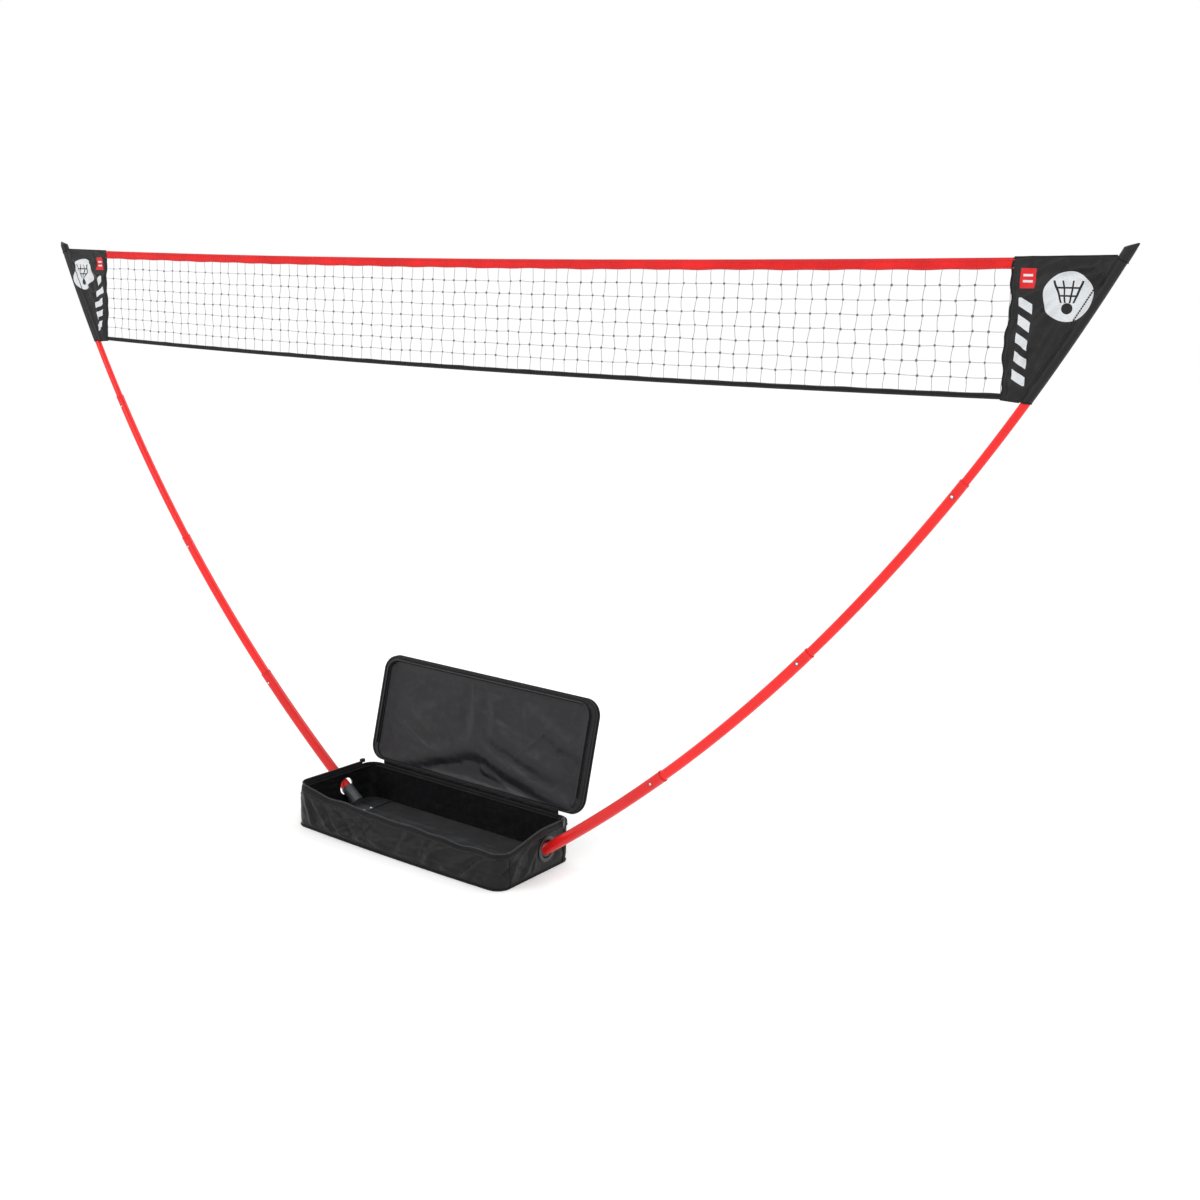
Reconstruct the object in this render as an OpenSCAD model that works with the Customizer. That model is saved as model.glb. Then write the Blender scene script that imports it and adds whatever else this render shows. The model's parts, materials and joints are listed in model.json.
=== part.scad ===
// Portable badminton net: a zipped carry case that is also the base, two bent telescopic poles and a net.
// Millimetres. +X runs along the net, +Y towards the lid's hinge, +Z up.
// The origin is on the ground, in the net's plane, midway between the poles.

/* [Case] */
// Length of the case, outside
case_length = 706; // [560:10:900]
// Depth of the case, outside
case_depth = 290; // [230:5:380]
// Height of the case up to the top of its zip
case_height = 120; // [100:5:180]
// From the net's plane back to the case's back face
case_back = 106; // [85:1:150]
// Radius of the upright corners
corner_r = 35; // [15:1:60]
// Thickness of the padded fabric walls
wall_t = 3; // [2:0.5:5]
// Thickness of the fabric bottom
bottom_t = 3; // [2:0.5:5]
// Thickness of the loose stiffening board on the bottom
board_t = 4; // [2:0.5:8]
// Height of the bias binding round the rim
binding_h = 12; // [6:1:20]
// How far the bindings stand proud
binding_t = 1.2; // [0.8:0.1:2]

/* [Zip] */
// Height of each tape between the wall or lid and its teeth
tape_h = 7; // [5:0.5:12]
// Thickness of the tapes
tape_t = 1.2; // [0.8:0.1:2]
// Height of one row of teeth
teeth_h = 3; // [2:0.5:5]
// How far the zip stops short of the back face
zip_stop = 40; // [30:1:70]
// Half the gap between the two rows of teeth when the lid is shut
teeth_gap = 0.5; // [0.3:0.1:1]
// Length of a slider's plates
slider_l = 14; // [10:1:20]
// Thickness of a slider's plates
slider_t = 2; // [1.2:0.1:3]
// Length of a pull tab below its pin
pull_l = 23; // [16:1:26]
// Width of a pull tab
pull_w = 8; // [6:0.5:12]

/* [Lid] */
// How far the lid stands past each end of the case
lid_overhang = 16; // [2:1:24]
// Height of the lid's sewn rim
lid_rim_h = 12; // [8:1:30]
// Thickness of the lid's fabric
lid_t = 3; // [2:0.5:5]
// Radius of the lid's corners
lid_corner_r = 42; // [20:1:70]
// Thickness of the board inside the lid
lid_board_t = 2; // [1.5:0.5:4]
// Angle from shut to the open position
lid_open = 102; // [92:1:115]

/* [Base frame] */
// Thickness of the steel flats
flat_t = 3; // [2:0.5:5]
// Width of the steel flats
flat_w = 40; // [30:1:60]
// Distance from each end wall to the middle of the cross flat
cross_inset = 64; // [56:1:110]
// Wall of the pole sockets
socket_wall = 2.6; // [2:0.1:4]
// Depth of the pole in its socket, from the end wall's face
socket_depth = 55; // [40:1:60]
// Thickness of a socket's foot plate
foot_t = 3; // [2:0.5:5]
// Radius of the rivets
rivet_r = 2.7; // [2:0.1:3.5]
// Height of the pole's centre where it leaves the case
hole_z = 60; // [54:1:75]
// Radius of the clear hole in the end wall's ring
hole_r = 24; // [21:0.5:28]
// Width of the ring's flange
ring_w = 10; // [6:1:14]

/* [Poles] */
// Outer diameter of the base tube
pole_d = 28.6; // [25:0.1:34]
// Wall of every tube
tube_wall = 1.5; // [1:0.1:1.8]
// Gap between a tube and the next one inside it
tube_gap = 0.3; // [0.2:0.05:0.5]
// Radius that all the tubes are bent to
bend_r = 4100; // [3400:50:5000]
// Slope of the pole where it leaves the case, in degrees
base_slope = 36.3; // [30:0.1:42]
// Length of base tube outside the case
base_section = 425; // [350:5:510]
// Length of lower tube that shows
lower_section = 500; // [420:5:600]
// Length of middle tube that shows
middle_section = 500; // [420:5:600]
// Length of tip tube above the middle tube
tip_section = 505; // [420:5:610]
// How much of each tube stays inside the one below
overlap = 60; // [45:1:75]
// Distance of each snap button below its tube's end
button_setback = 36; // [25:1:40]
// Radius of the snap buttons
button_r = 3; // [2.5:0.1:3.6]
// How far a snap button stands proud
button_proud = 1.3; // [1:0.1:2]
// Half the width of a button's leaf spring
spring_w = 2.5; // [2:0.1:3]
// Thickness of a button's leaf spring
spring_t = 0.8; // [0.5:0.1:1]

/* [Net] */
// Width of a sleeve along the net's top edge
sleeve_w = 202; // [160:5:260]
// Height of the net from tape to tape
net_h = 266; // [220:2:330]
// From the pole's tip down to the net's top edge
net_drop = 4; // [0:1:20]
// How far a sleeve reaches down the pole below the net
sleeve_drop = 4; // [2:1:20]
// Height of the top tape
top_tape_h = 22; // [15:1:40]
// Height of the bottom tape
bottom_tape_h = 11; // [8:1:25]
// Thickness of tapes and sleeves
cloth_t = 2.4; // [1.6:0.2:3]
// Thickness of the netting
netting_t = 1.6; // [1:0.2:2.4]
// Sag of the top tape at the middle
top_sag = 12; // [0:1:25]
// Sag of the bottom tape at the middle
bottom_sag = 15; // [0:1:30]
// Room round the tube inside a sleeve
sleeve_gap = 1.5; // [1:0.1:3]
// Thickness of a sleeve's tunnel
tunnel_t = 1.2; // [0.8:0.1:2]

/* [Hidden] */
$fn = 96;
// Sides of a circle as large as the poles' bend.
BEND_FN = 2048;
eps = 0.01;
half_l = case_length / 2;
case_front = case_back - case_depth;
wall_top = case_height - tape_h - teeth_h;
board_top = bottom_t + board_t;
frame_top = board_top + flat_t;
board_gap = 0.5;
frame_gap = 4;

// The hinge runs through the fold of its fabric, level with the gap between the rows of teeth.
hinge_t = 1.5;
hinge_y = case_back - hinge_t / 2;
hinge_z = case_height + teeth_gap;
hinge_short = 10;
hinge_l = case_length - 2 * (corner_r + hinge_short);
hinge_cord_r = 1;
hinge_gap = 3.5;
zip_y = case_back - zip_stop;

// Heights in the lid, measured up from the hinge with the lid shut.
lid_z1 = teeth_gap + teeth_h + tape_h;
lid_z2 = lid_z1 + lid_rim_h;
lid_half_l = half_l + lid_overhang;
lid_front = case_front - lid_overhang / 2;
lining_t = 1;
board_inset = 6;
fit_gap = 0.3;

// A zip slider and its pull.
slider_past = 4;
slider_y = zip_y - slider_l / 2 + slider_past;
slider_gap = 0.4;
plate_over = 1.5;
post_l = 3;
ear_t = 1.2;
pin_r = 0.8;
pin_fit = 0.08;
eye_r = 1.9;
neck_w = 1.9;
pin_x = half_l + slider_gap + slider_t + eye_r + fit_gap;

// The bend's centre, with the pole leaving the end wall at hole_z.
bend_x = half_l - bend_r * sin(base_slope);
bend_z = hole_z + bend_r * cos(base_slope);
ends = [
    base_section,
    base_section + lower_section,
    base_section + lower_section + middle_section,
    base_section + lower_section + middle_section + tip_section
];
tip_s = ends[3];
seat_gap = 0.1;
plug_t = 2;
socket_r = pole_d / 2 + seat_gap + socket_wall;
cap_l = 3;
cap_plug_l = 10;
base_plug_l = 4;

// The part of an end wall's ring that goes through the wall.
ring_t = 2;
ring_fit = 0.05;

// A snap button's leaf spring, along the pole from the button.
spring_back = 18;
spring_front = 8;
spring_short = 2;
spring_gap = 1.2;
spring_fit = 0.1;

// A socket's foot plate and its four rivets.
foot_l = 78;
foot_gap = 12;
foot_x0 = half_l - wall_t - foot_gap - foot_l;
rivet_inset = 8;
foot_x = [foot_x0 + rivet_inset, foot_x0 + foot_l - rivet_inset];
rivet_y = flat_w / 2 - 6;
rivet_fit = 0.05;

function slope(s) = base_slope + s / bend_r * 180 / PI;
function bend_point(s) = [bend_x + bend_r * sin(slope(s)), bend_z - bend_r * cos(slope(s))];
function inside_bend(s, d) = [bend_x + (bend_r - d) * sin(slope(s)), bend_z - (bend_r - d) * cos(slope(s))];
function s_at_height(z) = (acos((bend_z - z) / bend_r) - base_slope) * PI / 180 * bend_r;
function tube_r(k) = pole_d / 2 - k * (tube_wall + tube_gap);
function bore_r(k) = tube_r(k) - tube_wall;

tunnel_r = tube_r(3) + sleeve_gap;
sleeve_end = tip_s + cap_l + tube_r(3) + sleeve_gap;
net_top = bend_point(tip_s)[1] - net_drop;
net_bottom = net_top - net_h;
net_half = bend_point(tip_s)[0] - sleeve_w;
sleeve_s = s_at_height(net_bottom - sleeve_drop);
net_steps = 40;
sleeve_steps = 12;

// ---- shared shapes ----

module left_side() {
    mirror([1, 0, 0]) children();
}

// A rectangle from x0, y0 to x1, y1 with round corners.
module rounded(x0, y0, x1, y1, r) {
    translate([x0 + r, y0]) square([x1 - x0 - 2 * r, y1 - y0]);
    translate([x0, y0 + r]) square([x1 - x0, y1 - y0 - 2 * r]);
    for (x = [x0 + r, x1 - r], y = [y0 + r, y1 - r]) translate([x, y]) circle(r);
}

// The case's outline, moved out by d, or in where d is negative.
module case_outline(d) {
    rounded(-half_l - d, case_front - d, half_l + d, case_back + d, corner_r + d);
}

// The lid's outline, moved out by d.
module lid_outline(d) {
    rounded(-lid_half_l - d, lid_front - d, lid_half_l + d, case_back + d, lid_corner_r + d);
}

// A band of the case's outline between two offsets, from z0 to z1.
module case_band(d0, d1, z0, z1) {
    translate([0, 0, z0]) linear_extrude(z1 - z0) difference() {
        case_outline(d1);
        case_outline(d0);
    }
}

// What is in front of the zip's two stops.
module zip_stretch() {
    translate([-case_length, case_front - case_depth, -case_height])
        cube([2 * case_length, zip_y - case_front + case_depth, 4 * case_height]);
}

// One row of teeth on its tape, with the teeth from z0 upwards and the tape from z1.
module zip_chain(teeth_z, tape_z) {
    inset = (wall_t - tape_t) / 2;
    intersection() {
        union() {
            case_band(-wall_t, 0, teeth_z, teeth_z + teeth_h);
            case_band(-wall_t + inset, -inset, tape_z, tape_z + tape_h);
        }
        zip_stretch();
    }
}

// Moves the shut lid, drawn with its hinge at the origin, to its open place.
module opened() {
    translate([0, hinge_y, hinge_z]) rotate([-lid_open, 0, 0]) translate([0, -hinge_y, 0]) children();
}

// Sweeps a section along the pole's bend, from s0 to s1 along it.
module bent(s0, s1) {
    translate([bend_x, 0, bend_z]) rotate([90, 0, 0])
        rotate_extrude(angle = slope(s1) - slope(s0), start = slope(s0) + 270, $fn = BEND_FN)
            translate([bend_r, 0]) children();
}

// Puts a piece at s along the bend, with +Z along the pole.
module on_bend(s) {
    translate([bend_point(s)[0], 0, bend_point(s)[1]]) rotate([0, 90 - slope(s), 0]) children();
}

module ring(outer, inner) {
    difference() {
        circle(outer);
        circle(inner);
    }
}

// The hole for a snap button through the side of a tube.
module button_hole(s) {
    on_bend(s) rotate([90, 0, 0]) cylinder(r = button_r + fit_gap, h = pole_d, $fn = 32);
}

// ---- case ----

module bottom_panel() {
    color("#1b1b1d") linear_extrude(bottom_t) case_outline(0);
}

module long_wall(y) {
    color("#1d1d20") translate([-half_l + corner_r, y, bottom_t])
        cube([case_length - 2 * corner_r, wall_t, wall_top - bottom_t]);
}

module front_wall() {
    long_wall(case_front);
}

module back_wall() {
    long_wall(case_back - wall_t);
}

// An end wall with both of its round corners, and the hole for the pole's ring.
module right_wall() {
    color("#1d1d20") difference() {
        intersection() {
            case_band(-wall_t, 0, bottom_t, wall_top);
            translate([half_l - corner_r, case_front, 0]) cube([corner_r, case_depth, case_height]);
        }
        translate([half_l - corner_r, 0, hole_z]) rotate([0, 90, 0]) cylinder(r = hole_r + ring_t, h = 2 * corner_r);
    }
}

module left_wall() {
    left_side() right_wall();
}

module rim_binding() {
    color("#101012") case_band(0, binding_t, wall_top - binding_h, wall_top);
}

module zip_chain_base() {
    color("#2a2a2d") zip_chain(case_height - teeth_h, wall_top);
}

module base_board() {
    color("#3a3a3c") translate([0, 0, bottom_t]) linear_extrude(board_t) case_outline(-wall_t - board_gap);
}

// A flat along the case under the sockets, with a cross flat at each end that stops the poles tipping.
module base_frame() {
    cross_x = half_l - cross_inset;
    inset = wall_t + frame_gap;
    color("#4c4f52") difference() {
        translate([0, 0, board_top]) linear_extrude(flat_t) {
            translate([-half_l + 2 * inset, -flat_w / 2]) square([case_length - 4 * inset, flat_w]);
            for (x = [-cross_x, cross_x])
                translate([x - flat_w / 2, case_front + inset]) square([flat_w, case_depth - 2 * inset]);
        }
        for (m = [0, 1]) mirror([m, 0, 0]) rivet_places() rivet_hole();
    }
}

// The places of the right socket's four rivets, on its foot plate's top.
module rivet_places() {
    for (x = foot_x, y = [-1, 1] * rivet_y) translate([x, y, frame_top + foot_t]) children();
}

module rivet_hole() {
    translate([0, 0, -flat_t - foot_t - 1]) cylinder(r = rivet_r + rivet_fit, h = flat_t + foot_t + 2, $fn = 32);
}

module rivet() {
    translate([0, 0, -flat_t - foot_t]) cylinder(r = rivet_r, h = flat_t + foot_t + eps, $fn = 32);
    intersection() {
        cylinder(r = 2 * rivet_r, h = rivet_r, $fn = 32);
        translate([0, 0, -2 * rivet_r]) sphere(r = 3 * rivet_r, $fn = 48);
    }
}

// A bent cup for the pole's foot, on a plate riveted to the flats.
module right_socket() {
    web_t = 8;
    color("#c9ccd0") difference() {
        union() {
            translate([foot_x0, -flat_w / 2, frame_top]) cube([foot_l, flat_w, foot_t]);
            bent(-socket_depth - 2 * plug_t, -2 * wall_t) circle(socket_r);
            rotate([90, 0, 0]) translate([0, 0, -web_t / 2]) linear_extrude(web_t) polygon([
                [bend_point(-socket_depth)[0], frame_top],
                [foot_x0 + foot_l, frame_top],
                bend_point(-3 * wall_t),
                bend_point(-socket_depth)
            ]);
        }
        bent(-socket_depth - plug_t, 1) circle(pole_d / 2 + seat_gap);
        translate([0, -flat_w, frame_top - case_height]) cube([case_length, 2 * flat_w, case_height]);
        rivet_places() rivet_hole();
        rivet_places() translate([0, 0, eps]) cylinder(r = 2 * rivet_r + fit_gap, h = 1.5 * rivet_r, $fn = 32);
    }
}

module left_socket() {
    left_side() right_socket();
}

module socket_rivets() {
    color("#d9dadc") for (m = [0, 1]) mirror([m, 0, 0]) rivet_places() rivet();
}

// A moulded ring that lines the hole in an end wall.
module right_grommet() {
    lip_t = 2.5;
    color("#151517") translate([half_l, 0, hole_z]) rotate([0, 90, 0]) difference() {
        union() {
            cylinder(r = hole_r + ring_w, h = lip_t);
            translate([0, 0, -wall_t]) cylinder(r = hole_r + ring_t - ring_fit, h = wall_t + eps);
        }
        translate([0, 0, -wall_t - 1]) cylinder(r = hole_r, h = wall_t + lip_t + 2);
    }
}

module left_grommet() {
    left_side() right_grommet();
}

// The fixed half of the hinge's fabric.
module hinge_strip() {
    color("#161618") translate([-hinge_l / 2, case_back - hinge_t, wall_top])
        cube([hinge_l, hinge_t, hinge_z - hinge_gap - wall_top]);
}

// Piping cord in the hinge's fold.
module hinge_cord() {
    color("#101012") translate([-hinge_l / 2, hinge_y, hinge_z]) rotate([0, 90, 0])
        cylinder(r = hinge_cord_r, h = hinge_l, $fn = 32);
}

// ---- lid, drawn shut and then opened ----

module lid_panel() {
    color("#1c1c1f") opened() translate([0, 0, lid_z2]) linear_extrude(lid_t) lid_outline(0);
}

module lid_board() {
    color("#3a3a3c") opened() translate([0, 0, lid_z2 - lid_board_t]) linear_extrude(lid_board_t)
        lid_outline(-board_inset);
}

module lid_lining() {
    color("#25252a") opened() translate([0, 0, lid_z2 - lid_board_t - lining_t]) linear_extrude(lining_t)
        lid_outline(-board_inset);
}

// The upstand round the lid, with the lip that its zip tape is sewn to.
module lid_rim() {
    lip_t = 1.5;
    color("#1a1a1c") opened() {
        translate([0, 0, lid_z1 + lip_t]) linear_extrude(lid_rim_h - lip_t) difference() {
            lid_outline(0);
            lid_outline(-wall_t);
        }
        translate([0, 0, lid_z1]) linear_extrude(lip_t) difference() {
            lid_outline(0);
            case_outline(-wall_t - 1);
        }
    }
}

module lid_binding() {
    color("#0e0e10") opened() translate([0, 0, lid_z2 - lid_t]) linear_extrude(2 * lid_t) difference() {
        lid_outline(binding_t);
        lid_outline(0);
    }
}

module zip_chain_lid() {
    color("#2a2a2d") opened() zip_chain(teeth_gap, teeth_gap + teeth_h);
}

// The moving half of the hinge's fabric.
module hinge_flap() {
    color("#161618") opened() translate([-hinge_l / 2, case_back - hinge_t, hinge_gap])
        cube([hinge_l, hinge_t, lid_z1 - hinge_gap]);
}

// ---- zip sliders ----

// Two plates astride the teeth, joined by a post that stands above the case's row.
module right_slider() {
    plate_h = 2 * (teeth_h + teeth_gap + plate_over);
    plate_z = hinge_z - plate_h / 2;
    inner_x = half_l - wall_t - slider_gap - slider_t;
    outer_x = half_l + slider_gap;
    color("#b9bbbf") {
        for (x = [inner_x, outer_x])
            translate([x, slider_y - slider_l / 2, plate_z]) cube([slider_t, slider_l, plate_h]);
        translate([inner_x, slider_y + slider_l / 2 - post_l, case_height + slider_gap])
            cube([outer_x + slider_t - inner_x, post_l, plate_h / 2 - teeth_gap - slider_gap]);
        for (side = [-1, 1])
            translate([outer_x + slider_t - eps, slider_y + side * (neck_w + fit_gap + ear_t / 2) - ear_t / 2,
                    hinge_z - eye_r])
                cube([2 * eye_r + fit_gap, ear_t, 2 * eye_r]);
        translate([pin_x, slider_y, hinge_z]) rotate([90, 0, 0])
            cylinder(r = pin_r, h = 2 * (neck_w + fit_gap + eps), center = true, $fn = 32);
    }
}

module left_slider() {
    left_side() right_slider();
}

// A pull tab that hangs from the slider's pin.
module right_pull() {
    tab_t = 1.4;
    shoulder = 2 * eye_r + 0.6;
    color("#c6c8cb") translate([pin_x, slider_y, hinge_z]) difference() {
        union() {
            rotate([90, 0, 0]) cylinder(r = eye_r, h = 2 * neck_w, center = true, $fn = 32);
            translate([-tab_t / 2, -neck_w, -shoulder - 1]) cube([tab_t, 2 * neck_w, shoulder + 1]);
            translate([-tab_t / 2, -pull_w / 2, -pull_l + pull_w / 2])
                cube([tab_t, pull_w, pull_l - pull_w / 2 - shoulder]);
            translate([-tab_t / 2, 0, -pull_l + pull_w / 2]) rotate([0, 90, 0])
                cylinder(r = pull_w / 2, h = tab_t, $fn = 48);
        }
        rotate([90, 0, 0]) cylinder(r = pin_r + pin_fit, h = 3 * neck_w, center = true, $fn = 32);
        translate([-tab_t, 0, -pull_l + pull_w / 2]) rotate([0, 90, 0])
            cylinder(r = pull_w / 4, h = 2 * tab_t, $fn = 32);
    }
}

module left_pull() {
    left_side() right_pull();
}

// ---- poles: tube 0 is the base tube and tube 3 the tip tube ----

module tube(k) {
    start = k == 0 ? -socket_depth : ends[k - 1] - overlap;
    color(k == 0 ? "#d3202b" : "#e02a35") difference() {
        bent(start, ends[k]) ring(tube_r(k), bore_r(k));
        if (k < 3) button_hole(ends[k] - button_setback);
        if (k > 0) button_hole(ends[k - 1] - button_setback);
    }
}

// The snap button that locks tube k in the tube outside it.
module button(k) {
    length = tube_wall + button_proud;
    dome_r = 1.4 * button_r;
    color("#d7d9dc") on_bend(ends[k - 1] - button_setback) translate([0, -bore_r(k - 1), 0]) rotate([90, 0, 0])
        intersection() {
            cylinder(r = button_r, h = length, $fn = 32);
            translate([0, 0, length - dome_r]) sphere(r = dome_r, $fn = 48);
        }
}

// The leaf spring behind that button: a strip bent back on itself inside tube k.
module spring(k) {
    far_y = sqrt(pow(bore_r(k), 2) - pow(spring_w, 2)) - spring_fit;
    near_y = bore_r(k) - spring_gap;
    s = ends[k - 1] - button_setback;
    color("#9a9da1") {
        bent(s - spring_back, s + spring_front) translate([-spring_w, near_y - spring_t]) square([2 * spring_w, spring_t]);
        bent(s - spring_back, s + spring_short) translate([-spring_w, -far_y]) square([2 * spring_w, spring_t]);
        bent(s - spring_back, s - spring_back + spring_t) translate([-spring_w, -far_y]) square([2 * spring_w, far_y + near_y]);
    }
}

// The plug in the base tube's foot.
module base_plug() {
    color("#151517") on_bend(-socket_depth) {
        translate([0, 0, -plug_t + seat_gap]) cylinder(r = tube_r(0), h = plug_t - seat_gap);
        translate([0, 0, -eps]) cylinder(r = bore_r(0) - fit_gap, h = base_plug_l);
    }
}

// The domed cap that the sleeve's end pulls against.
module tip_cap() {
    color("#151517") on_bend(tip_s) {
        translate([0, 0, -cap_plug_l]) cylinder(r = bore_r(3) - seat_gap, h = cap_plug_l + eps, $fn = 48);
        cylinder(r = tube_r(3), h = cap_l, $fn = 48);
        translate([0, 0, cap_l]) intersection() {
            sphere(r = tube_r(3), $fn = 48);
            translate([0, 0, tube_r(3)]) cube(2 * tube_r(3), center = true);
        }
    }
}

// ---- net ----

function top_edge(x) = net_top - top_sag * (1 - pow(x / net_half, 2));
function bottom_edge(x) = net_bottom - bottom_sag * (1 - pow(x / net_half, 2));
function station(i) = net_half * (2 * i / net_steps - 1);

// A sheet in the net's plane, from an outline in X and Z.
module strip(t, points) {
    rotate([90, 0, 0]) translate([0, 0, -t / 2]) linear_extrude(t) polygon(points);
}

module net_mesh() {
    color("#cfd2d6") strip(netting_t, concat(
        [for (i = [0:net_steps]) [station(i), bottom_edge(station(i)) + bottom_tape_h]],
        [for (i = [net_steps:-1:0]) [station(i), top_edge(station(i)) - top_tape_h]]
    ));
}

module top_tape() {
    color("#d1222c") strip(cloth_t, concat(
        [for (i = [0:net_steps]) [station(i), top_edge(station(i)) - top_tape_h]],
        [for (i = [net_steps:-1:0]) [station(i), top_edge(station(i))]]
    ));
}

module bottom_tape() {
    color("#141416") strip(cloth_t, concat(
        [for (i = [0:net_steps]) [station(i), bottom_edge(station(i))]],
        [for (i = [net_steps:-1:0]) [station(i), bottom_edge(station(i)) + bottom_tape_h]]
    ));
}

// A three-cornered sleeve with a tunnel down its outer edge, closed at the top, for the tip tube.
module right_sleeve() {
    color("#17171a") {
        strip(cloth_t, concat(
            [[net_half, net_bottom], [net_half, net_top]],
            [for (i = [sleeve_steps:-1:0])
                inside_bend(sleeve_s + (sleeve_end - sleeve_s) * i / sleeve_steps, tunnel_r + tunnel_t / 2)]
        ));
        bent(sleeve_s, sleeve_end) ring(tunnel_r + tunnel_t, tunnel_r);
        on_bend(sleeve_end - tunnel_t) cylinder(r = tunnel_r + tunnel_t / 2, h = tunnel_t - eps);
    }
}

module left_sleeve() {
    left_side() right_sleeve();
}

bottom_panel();
front_wall();
back_wall();
left_wall();
right_wall();
rim_binding();
zip_chain_base();
base_board();
base_frame();
left_socket();
right_socket();
socket_rivets();
left_grommet();
right_grommet();
hinge_strip();
hinge_cord();
left_side() tube(0);  // left_base_tube
tube(0);  // right_base_tube
left_side() base_plug();  // left_base_plug
base_plug();  // right_base_plug
lid_panel();
lid_board();
lid_lining();
lid_rim();
lid_binding();
zip_chain_lid();
hinge_flap();
left_slider();
right_slider();
left_pull();
right_pull();
left_side() tube(1);  // left_lower_tube
left_side() tube(2);  // left_middle_tube
left_side() tube(3);  // left_tip_tube
tube(1);  // right_lower_tube
tube(2);  // right_middle_tube
tube(3);  // right_tip_tube
left_side() button(1);  // left_lower_button
left_side() button(2);  // left_middle_button
left_side() button(3);  // left_tip_button
button(1);  // right_lower_button
button(2);  // right_middle_button
button(3);  // right_tip_button
left_side() spring(1);  // left_lower_spring
left_side() spring(2);  // left_middle_spring
left_side() spring(3);  // left_tip_spring
spring(1);  // right_lower_spring
spring(2);  // right_middle_spring
spring(3);  // right_tip_spring
left_side() tip_cap();  // left_tip_cap
tip_cap();  // right_tip_cap
net_mesh();
top_tape();
bottom_tape();
left_sleeve();
right_sleeve();
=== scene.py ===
"""Portable badminton net on its carry-case base: fabrics, webbing, twine, painted tube and studio."""

from __future__ import annotations

import json
import logging
import math
import random
from dataclasses import dataclass, field
from enum import Enum
from typing import Any, Callable, Sequence

import bmesh
import bpy
import numpy as np
from mathutils import Matrix, Vector


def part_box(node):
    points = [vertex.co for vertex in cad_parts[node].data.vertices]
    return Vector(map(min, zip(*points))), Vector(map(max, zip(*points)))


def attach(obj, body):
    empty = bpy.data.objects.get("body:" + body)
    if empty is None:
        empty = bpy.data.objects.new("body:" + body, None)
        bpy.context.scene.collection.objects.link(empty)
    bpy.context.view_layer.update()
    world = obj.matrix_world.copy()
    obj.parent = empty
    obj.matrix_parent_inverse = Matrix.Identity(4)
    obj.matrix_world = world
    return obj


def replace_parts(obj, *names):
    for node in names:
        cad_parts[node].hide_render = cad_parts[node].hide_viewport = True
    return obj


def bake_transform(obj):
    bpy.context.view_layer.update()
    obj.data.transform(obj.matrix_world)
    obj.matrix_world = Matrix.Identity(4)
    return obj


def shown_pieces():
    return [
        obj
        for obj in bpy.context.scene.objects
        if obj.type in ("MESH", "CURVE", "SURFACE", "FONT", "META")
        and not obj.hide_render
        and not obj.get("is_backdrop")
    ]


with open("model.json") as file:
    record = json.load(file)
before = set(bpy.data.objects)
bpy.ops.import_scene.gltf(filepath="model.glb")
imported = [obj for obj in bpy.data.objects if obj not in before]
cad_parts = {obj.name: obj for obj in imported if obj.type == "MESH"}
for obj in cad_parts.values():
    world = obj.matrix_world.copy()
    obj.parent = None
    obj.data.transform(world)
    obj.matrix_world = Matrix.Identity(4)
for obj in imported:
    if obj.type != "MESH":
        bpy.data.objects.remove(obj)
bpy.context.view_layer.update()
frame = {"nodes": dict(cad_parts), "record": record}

LOG = logging.getLogger("badminton_net")
SIDES = {"left": -1.0, "right": 1.0}
JOINTS = {joint["name"]: joint for joint in frame["record"]["behaviour"]["joints"]}
Colour = tuple[float, float, float]
Points = np.ndarray
Piece = bpy.types.Object
Mesh = bpy.types.Mesh
Socket = bpy.types.NodeSocket


# ---- shader building ----


class Value:
    """A number on a node's output, so that shader maths reads as an expression."""

    def __init__(self, paint: "Paint", socket: Socket) -> None:
        """Wraps a socket of the given paint's node tree."""
        self.paint = paint
        self.socket = socket

    def _join(self, operation: str, first: Any, second: Any) -> "Value":
        """Adds one Math node on two Values or numbers."""
        made = self.paint.node("ShaderNodeMath", {"operation": operation}, {0: first, 1: second})
        return Value(self.paint, made.outputs[0])

    def __add__(self, other: Any) -> "Value":
        """Sum."""
        return self._join("ADD", self, other)

    def __radd__(self, other: Any) -> "Value":
        """Reflected sum."""
        return self._join("ADD", other, self)

    def __sub__(self, other: Any) -> "Value":
        """Difference."""
        return self._join("SUBTRACT", self, other)

    def __rsub__(self, other: Any) -> "Value":
        """Reflected difference."""
        return self._join("SUBTRACT", other, self)

    def __mul__(self, other: Any) -> "Value":
        """Product."""
        return self._join("MULTIPLY", self, other)

    def __rmul__(self, other: Any) -> "Value":
        """Reflected product."""
        return self._join("MULTIPLY", other, self)

    def __lt__(self, other: Any) -> "Value":
        """One where self is less than other, else zero."""
        return self._join("LESS_THAN", self, other)

    def __abs__(self) -> "Value":
        """Size without sign."""
        return self._join("ABSOLUTE", self, 0.0)

    def power(self, exponent: float) -> "Value":
        """Self to a power."""
        return self._join("POWER", self, exponent)

    def sine(self) -> "Value":
        """Sine of self in radians."""
        return self._join("SINE", self, 0.0)


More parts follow.
